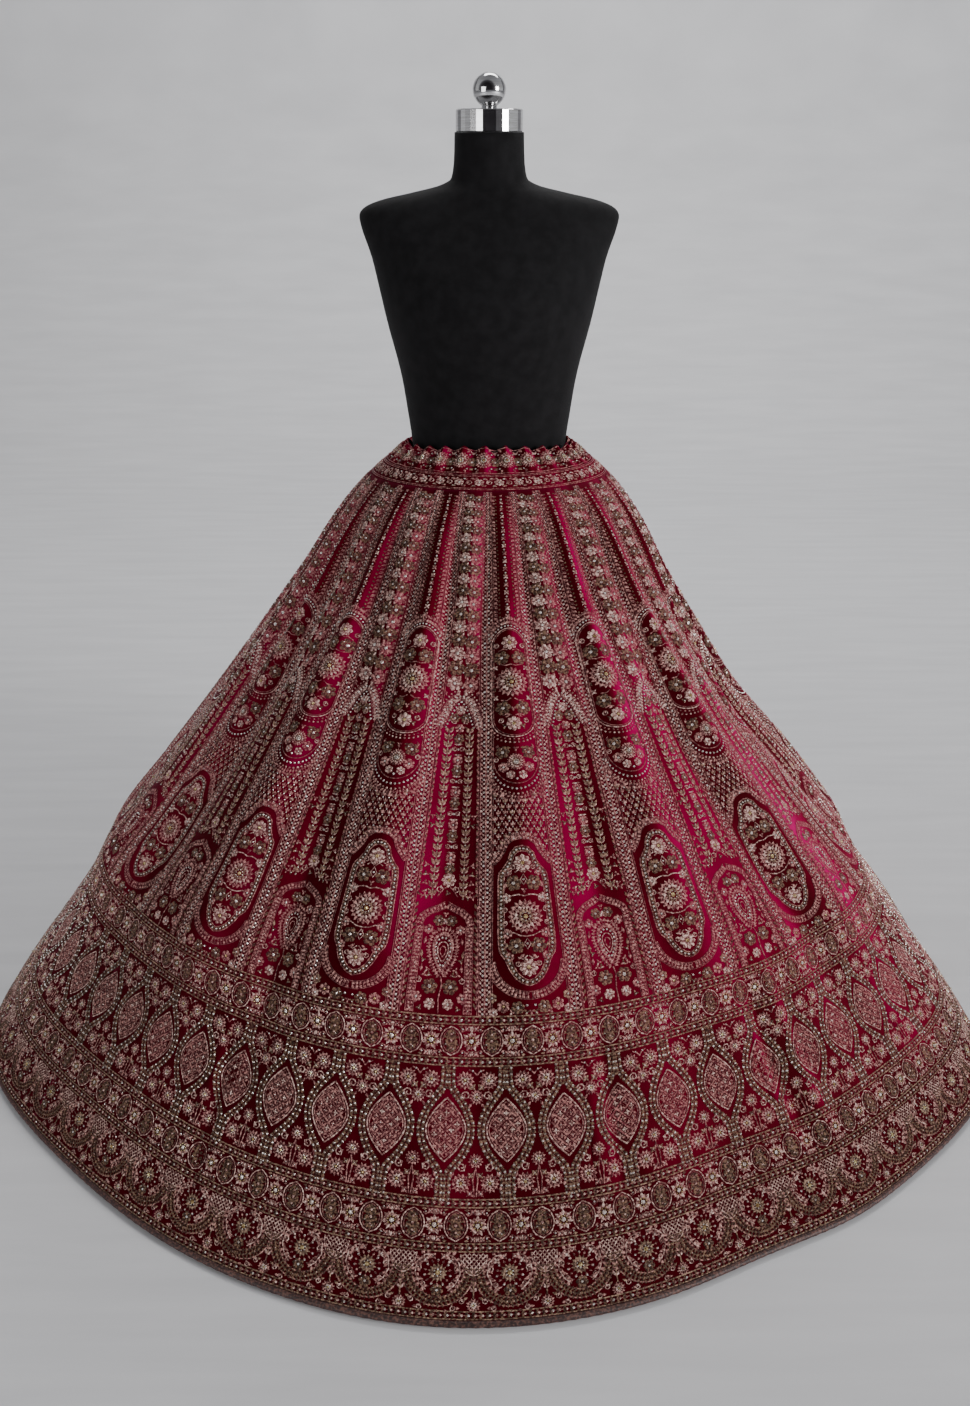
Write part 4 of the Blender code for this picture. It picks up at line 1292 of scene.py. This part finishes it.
def lay_design(name, design, azimuths, heights, materials):
    """One piece of embroidery: a design laid on the cloth at each azimuth."""
    places, faces, finish = design.flat_mesh()
    count = len(places)
    everywhere = np.concatenate([places + [azimuth, 0.0, 0.0] for azimuth in azimuths])
    points = lay_on(everywhere, heights)
    all_faces = np.concatenate([faces + k * count for k in range(len(azimuths))])
    mesh = mesh_from_arrays(name, points, all_faces, np.tile(finish, len(azimuths)))
    # Painted light and shade for the threads, as on the cloth under them
    painted_light_values = painted_pile_light(everywhere[:, 0], everywhere[:, 1], heights)
    mesh.attributes.new("painted_light", "FLOAT", "POINT").data.foreach_set("value", painted_light_values.astype(np.float32))
    return add_piece(name, mesh, materials)


# Cloth pieces
KALI_SHELL_COLUMNS = 20
KALI_SHELL_ROWS = 70


def build_kali(number, velvet, threads, design):
    left = FIRST_SEAM + (number - 1) * KALI_DEGREES
    slants = np.linspace(SEAM_GAP / 2, HEM - PIPING_HEIGHT - SEAM_GAP, KALI_SHELL_ROWS)
    inset = SEAM_GAP / 2 / reach(slants)
    share = np.linspace(0.0, 1.0, KALI_SHELL_COLUMNS + 1)
    azimuths = left + inset[:, None] + share[None, :] * (KALI_DEGREES - 2 * inset[:, None])
    grid = np.repeat(slants[:, None], KALI_SHELL_COLUMNS + 1, axis=1)
    mesh = wall_mesh(f"cloth_kali_{number:02d}", azimuths, grid, skirt_heights, False)
    piece = add_piece(mesh.name, mesh, [velvet])
    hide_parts(f"kali_{number:02d}")
    centre = left + KALI_DEGREES * 0.75
    stitched = lay_design(f"embroidery_kali_{number:02d}", design, [centre - KALI_DEGREES], skirt_heights,
                          threads)
    return piece, stitched


def build_band(name, top, foot, rows, columns, heights, velvet):
    """A band round the waist; the casing's top edge dips between its gathers."""
    slants = np.linspace(top + SEAM_GAP / 2, foot - SEAM_GAP / 2, rows)
    azimuths = FIRST_SEAM + np.arange(columns) * 360.0 / columns
    azimuths, slants = np.meshgrid(azimuths, slants)
    if heights is casing_heights:
        dip = 0.5 - 0.5 * np.cos(CASING_GATHERS * np.radians(azimuths - FIRST_SEAM))
        share = smoothstep(CASING_SEAM, CASING_TOP, slants)
        slants = slants + CASING_EDGE_DIP * dip * share * (1.0 + 0.4 * gather_swell(azimuths))
    mesh = wall_mesh(name, azimuths, slants, heights, True)
    return add_piece(name, mesh, [velvet])


def build_piping(material):
    """Twisted cord edge: an oval tube whose strands show as slanting ridges."""
    columns, sides, twists = 640, 8, 300
    azimuth = FIRST_SEAM + np.arange(columns) * 360.0 / columns
    top = base_points(azimuth, np.full(columns, HEM - PIPING_HEIGHT))
    foot = base_points(azimuth, np.full(columns, HEM))
    normal = base_normals(azimuth, np.full(columns, HEM - PIPING_HEIGHT))
    centre = (top + foot) / 2 - normal * CLOTH_THICKNESS / 2
    rings = []
    for side in range(sides):
        turn = 2 * pi * side / sides
        ridge = 1.0 + 0.07 * np.cos(twists * np.radians(azimuth) + 2 * turn)
        spoke = (foot - top) / 2 * cos(turn) + normal * PIPING_THICKNESS / 2 * sin(turn)
        rings.append(centre + spoke * ridge[:, None])
    points = np.stack(rings, axis=1).reshape(-1, 3)
    points[:, 2] = np.maximum(points[:, 2], 0.0004)
    here, after = ring_corners(columns, sides)
    faces = np.stack([here, np.roll(here, -1, axis=0), np.roll(after, -1, axis=0), after], axis=2)
    mesh = mesh_from_arrays("corded_hem", points, faces.reshape(-1, 4), smooth=True)
    return add_piece("corded_hem", mesh, [material])


def build_skirt():
    velvet = velvet_material()
    threads = embroidery_materials()
    design = kali_design()
    kalis = [build_kali(number, velvet, threads, design) for number in range(1, KALI_COUNT + 1)]
    yoke = build_band("cloth_yoke_band", CASING_SEAM, 0.0, 7, 192, flat_heights, velvet)
    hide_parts("yoke_band")
    yoke_work = lay_design("embroidery_yoke", yoke_design(), [0.0], flat_heights, threads)
    casing = build_band("cloth_waist_casing", CASING_TOP, CASING_SEAM, 10, 312, casing_heights, velvet)
    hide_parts("waist_casing")
    casing_work = lay_design("embroidery_casing", casing_design(), [0.0], casing_heights, threads)
    # Dark brown cord: its dark tones are partly its own colour and partly painted shade where it meets the
    # floor
    piping = build_piping(thread_material("piping_cord", (0.024, 0.009, 0.008), (0.094, 0.042, 0.032),
                                          0.48, 0.1, 0.3))
    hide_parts("hem_piping")
    for name, maker, middle, tall in (("upper_medallions", medallion_repeat, 0.765, 0.0175),
                                      ("lower_medallions", medallion_repeat, 0.986, 0.0185)):
        repeats = BORDER_REPEATS[name]
        step = 360.0 / repeats
        lay_design(f"embroidery_{name}", maker(step, middle, tall), CENTRE_COLUMN + np.arange(repeats) * step,
                   skirt_heights, threads)
    for name, maker in (("ogees", ogee_repeat), ("scallops", scallop_repeat)):
        repeats = BORDER_REPEATS[name]
        step = 360.0 / repeats
        lay_design(f"embroidery_{name}", maker(step), CENTRE_COLUMN + (np.arange(repeats) + 0.5) * step,
                   skirt_heights, threads)
    for name, slant, count in (("line_a", LINE_A, 430), ("line_b", LINE_B, 460), ("line_c", LINE_C, 540),
                               ("line_d", LINE_D, 570), ("hem_line", HEM_LINE, 600)):
        lay_design(f"embroidery_{name}", border_line(slant, count), [0.0], skirt_heights, threads)


# Dress form and stand. Level cuts of the hips and of the bodice: height, half width, half depth, forward
HIP_CUTS = [(0.700, 0.1400, 0.1150, 0.0), (0.712, 0.1540, 0.1240, 0.0), (0.765, 0.1680, 0.1310, 0.0),
            (0.830, 0.1690, 0.1310, 0.0)]
BODICE_CUTS = [
    (0.985, 0.1230, 0.0950, 0.002), (1.040, 0.1320, 0.1040, 0.005), (1.105, 0.1480, 0.1180, 0.010),
    (1.150, 0.1580, 0.1200, 0.010), (1.200, 0.1700, 0.1020, 0.004), (1.240, 0.1840, 0.0840, -0.002),
    (1.262, 0.1850, 0.0720, -0.004), (1.276, 0.1600, 0.0660, -0.005), (1.288, 0.1080, 0.0600, -0.005),
    (1.299, 0.0660, 0.0540, -0.004), (1.315, 0.0520, 0.0500, -0.001), (1.368, 0.0490, 0.0490, 0.0),
]
WAIST_RING_SLANTS = (0.0, -0.010, -0.020, -0.030, -0.044, -0.058, -0.072)
TORSO_SIDES = 108
BALL_SIDES = 72
BALL_RADIUS = 0.0235
BALL_STEM_RADIUS = 0.011
BALL_STEM_HEIGHT = 0.004
TORSO_STEPS = 4
NECK_SEAM_HEIGHT = 1.306
# Sunk seams of the jersey cover: half widths in degrees and in metres, and depths
SEAM_HALF_DEGREES, NECK_SEAM_HALF = 1.9, 0.0022
SEAM_DEPTH, BACK_SEAM_DEPTH = 0.0011, 0.0009


def torso_rings():
    azimuth = np.arange(TORSO_SIDES) * 360.0 / TORSO_SIDES
    turn = np.radians(azimuth)

    def cut_ring(height, half_width, half_depth, forward):
        return np.stack([half_width * np.sin(turn), -forward - half_depth * np.cos(turn),
                         np.full(TORSO_SIDES, height)], axis=1)

    rings = [cut_ring(*cut) for cut in HIP_CUTS]
    for slant in WAIST_RING_SLANTS:
        slants = np.full(TORSO_SIDES, slant)
        depth = casing_heights(np.array([FIRST_SEAM]), np.array([min(slant, CASING_SEAM)]))[0]
        inset = CLOTH_THICKNESS + 1.3 * depth + 0.0006
        rings.append(base_points(azimuth, slants) - base_normals(azimuth, slants) * inset)
    return rings + [cut_ring(*cut) for cut in BODICE_CUTS]


def torso_mesh():
    """Smooth torso through the form's cuts, with the sunk seams of its jersey cover."""
    rings = np.array(torso_rings())
    slopes = (np.concatenate([rings[1:], rings[-1:]]) - np.concatenate([rings[:1], rings[:-1]])) / 2
    levels = [cubic(t, rings[k], rings[k + 1], slopes[k], slopes[k + 1])
              for k in range(len(rings) - 1) for t in np.arange(TORSO_STEPS) / TORSO_STEPS]
    points = np.array(levels + [rings[-1]])
    azimuth = np.arange(TORSO_SIDES) * 360.0 / TORSO_SIDES
    height = points[:, :, 2]
    sink = BACK_SEAM_DEPTH * np.exp(-(turn_from(azimuth[None, :], 180.0) / SEAM_HALF_DEGREES) ** 2)
    sink = sink * smoothstep(1.350, 1.330, height)
    sink += SEAM_DEPTH * np.exp(-((height - NECK_SEAM_HEIGHT) / NECK_SEAM_HALF) ** 2)
    for side in (-1, 1):
        for front in (0.0, 180.0):
            seam = front + side * (30.0 + 22.0 * (height - 0.95) / 0.35)
            gap = turn_from(azimuth[None, :], seam)
            fade = smoothstep(1.290, 1.270, height)
            sink += SEAM_DEPTH * np.exp(-(gap / SEAM_HALF_DEGREES) ** 2) * fade
    flat = points[:, :, :2]
    size = np.maximum(np.hypot(flat[:, :, 0], flat[:, :, 1]), 0.02)
    points[:, :, :2] = flat * (1.0 - sink / size)[:, :, None]
    foot = len(points) * TORSO_SIDES
    index = np.arange(foot).reshape(-1, TORSO_SIDES)
    index = np.concatenate([index, index[:, :1]], axis=1)
    quads = grid_quads(index)
    ends = np.stack([points[0].mean(axis=0), points[-1].mean(axis=0)])
    fans = [np.stack([np.full(TORSO_SIDES, foot), index[0, 1:], index[0, :-1]], axis=1),
            np.stack([np.full(TORSO_SIDES, foot + 1), index[-1, :-1], index[-1, 1:]], axis=1)]
    return mesh_from_arrays("jersey_torso", np.concatenate([points.reshape(-1, 3), ends]),
                            np.concatenate([quads[:, [0, 3, 2]], quads[:, [0, 2, 1]]] + fans), smooth=True)


def paint_node(node, material):
    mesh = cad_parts[node].data
    mesh.materials.clear()
    mesh.materials.append(material)


def jersey_material():
    """Black stretch jersey: fine ribs, a soft sheen and a little lint."""
    material, tree, shader = new_material("black_jersey")
    lint = [(0.35, (0.0035, 0.0032, 0.0038)), (0.70, (0.0085, 0.0080, 0.0090))]
    set_inputs(shader, {"Base Color": add_ramp(tree, add_noise(tree, 60.0, 5.0), lint), "Roughness": 0.80,
                        "Specular IOR Level": 0.16, "Sheen Weight": 0.05, "Sheen Roughness": 0.5})
    add_bump(tree, shader, add_noise(tree, 700.0, 2.0, (3.0, 3.0, 1.0)), 0.0005, 0.6)
    return material


def metal_material(name, dark, light, low_roughness, high_roughness):
    """Metal with faint turning marks and smudges."""
    material, tree, shader = new_material(name)
    marks = add_noise(tree, 30.0, 4.0, (1.0, 1.0, 14.0))
    rough = add_node(tree, "MapRange", {"Value": add_noise(tree, 55.0, 3.0), "To Min": low_roughness,
                                        "To Max": high_roughness})
    set_inputs(shader, {"Base Color": add_ramp(tree, marks, [(0.35, dark), (0.65, light)]),
                        "Roughness": rough.outputs["Result"], "Metallic": 1.0})
    return material


def build_ball(chrome):
    """Round ball on its short stem, turned finer than its solid."""
    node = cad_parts["neck_ball"]
    foot = min((node.matrix_world @ vertex.co).z for vertex in node.data.vertices)
    stem = np.arcsin(BALL_STEM_RADIUS / BALL_RADIUS)
    centre = foot + BALL_STEM_HEIGHT + BALL_RADIUS * cos(stem)
    profile = [(0.0, foot), (BALL_STEM_RADIUS, foot)]
    profile += arc(BALL_RADIUS, BALL_RADIUS, 180.0 - degrees(stem), degrees(0.02), 40, y=centre)
    profile.append((0.0, centre + BALL_RADIUS))
    points = np.array([(r * sin(turn), -r * cos(turn), z) for r, z in profile
                       for turn in 2 * pi * np.arange(BALL_SIDES) / BALL_SIDES])
    here, after = ring_corners(len(profile) - 1, BALL_SIDES)
    faces = np.stack([here, after, after + BALL_SIDES, here + BALL_SIDES], axis=2).reshape(-1, 4)
    mesh = mesh_from_arrays("chrome_ball", points, faces, smooth=True)
    ball = add_piece("chrome_ball", mesh, [chrome])
    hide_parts("neck_ball")


def build_form():
    jersey = jersey_material()
    torso = add_piece("jersey_torso", torso_mesh(), [jersey])
    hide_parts("form_torso")
    chrome = metal_material("polished_chrome", (0.62, 0.61, 0.61), (0.78, 0.78, 0.79), 0.05, 0.16)
    steel = metal_material("satin_steel", (0.22, 0.22, 0.23), (0.36, 0.36, 0.37), 0.30, 0.45)
    paint_node("neck_cap", chrome)
    build_ball(chrome)
    paint_node("stand_pole", steel)
    paint_node("stand_base", steel)


# Studio
def build_camera():
    data = bpy.data.cameras.new("photo_view")
    data.lens = CAMERA_LENS
    data.clip_start, data.clip_end = 0.05, 50.0
    camera = bpy.data.objects.new("photo_view", data)
    bpy.context.scene.collection.objects.link(camera)
    camera.location = CAMERA_PLACE
    camera.rotation_euler = (radians(90.0 - CAMERA_PITCH_DOWN), 0.0, 0.0)
    bpy.context.scene.camera = camera


def build_floor():
    """Pale floor that sweeps up into a backdrop."""
    material, tree, shader = new_material("pale_floor")
    grain = add_noise(tree, 3.0, 6.0, (1.0, 7.0, 1.0))
    color = add_ramp(tree, grain, [(0.3, (0.66, 0.66, 0.675)), (0.7, (0.73, 0.73, 0.745))])
    set_inputs(shader, {"Base Color": color, "Roughness": 0.75})
    near, start, radius, width, height = -16.0, 3.6, 2.0, 16.0, 9.0
    sweep = [(start + radius * sin(t), radius - radius * cos(t)) for t in np.linspace(0.1, pi / 2, 12)]
    profile = [(near, 0.0), (start, 0.0)] + sweep + [(start + radius, height)]
    points = np.array([(side * width, y, z) for y, z in profile for side in (-1, 1)])
    rows = np.arange(len(profile) - 1) * 2
    faces = np.stack([rows, rows + 1, rows + 3, rows + 2], axis=1)
    mesh = mesh_from_arrays("floor", points, faces, smooth=True)
    mesh.materials.append(material)
    floor = bpy.data.objects.new("floor", mesh)
    bpy.context.scene.collection.objects.link(floor)


def add_area_light(name, place, target, size, power, color=(1.0, 1.0, 1.0)):
    data = bpy.data.lights.new(name, "AREA")
    data.size = size
    data.energy = power
    data.color = color
    light = bpy.data.objects.new(name, data)
    bpy.context.scene.collection.objects.link(light)
    light.location = place
    light.rotation_euler = (Vector(target) - Vector(place)).to_track_quat("-Z", "Y").to_euler()


def build_world():
    """Soft studio round the part: dim above, and darkest behind the camera."""
    world = bpy.data.worlds.new("studio")
    world.use_nodes = True
    tree = world.node_tree
    around = add_node(tree, "TexCoord", {}).outputs["Generated"]
    height = add_node(tree, "SeparateXYZ", {"Vector": around}).outputs["Z"]
    above = add_ramp(tree, height, [(0.0, (0.50, 0.505, 0.515)), (0.35, (0.40, 0.405, 0.415)),
                                    (1.0, (0.19, 0.19, 0.20))])
    toward = add_node(tree, "VectorMath", {0: around, 1: (-0.30, -0.95, 0.05)}, operation="DOT_PRODUCT")
    behind = add_ramp(tree, toward.outputs["Value"], [(0.42, (1.0, 1.0, 1.0)), (0.60, (0.20, 0.19, 0.20)),
                                                      (0.80, (0.05, 0.045, 0.05))])
    both = add_node(tree, "Mix", {"Factor": 1.0, "A": above, "B": behind}, data_type="RGBA",
                    blend_type="MULTIPLY")
    set_inputs(tree.nodes["Background"], {"Color": both.outputs["Result"], "Strength": 1.0})
    bpy.context.scene.world = world


def build_lights():
    add_area_light("key", (5.0, -3.3, 2.0), (0.1, 0.0, 0.55), 2.0, 278.0)
    add_area_light("fill", (-2.5, -2.9, 1.4), (0.0, 0.0, 0.55), 2.0, 46.0)
    add_area_light("back", (0.4, 2.2, 5.2), (0.0, 5.0, 1.6), 3.4, 190.0)


build_camera()
build_floor()
build_lights()
build_world()
build_form()
build_skirt()
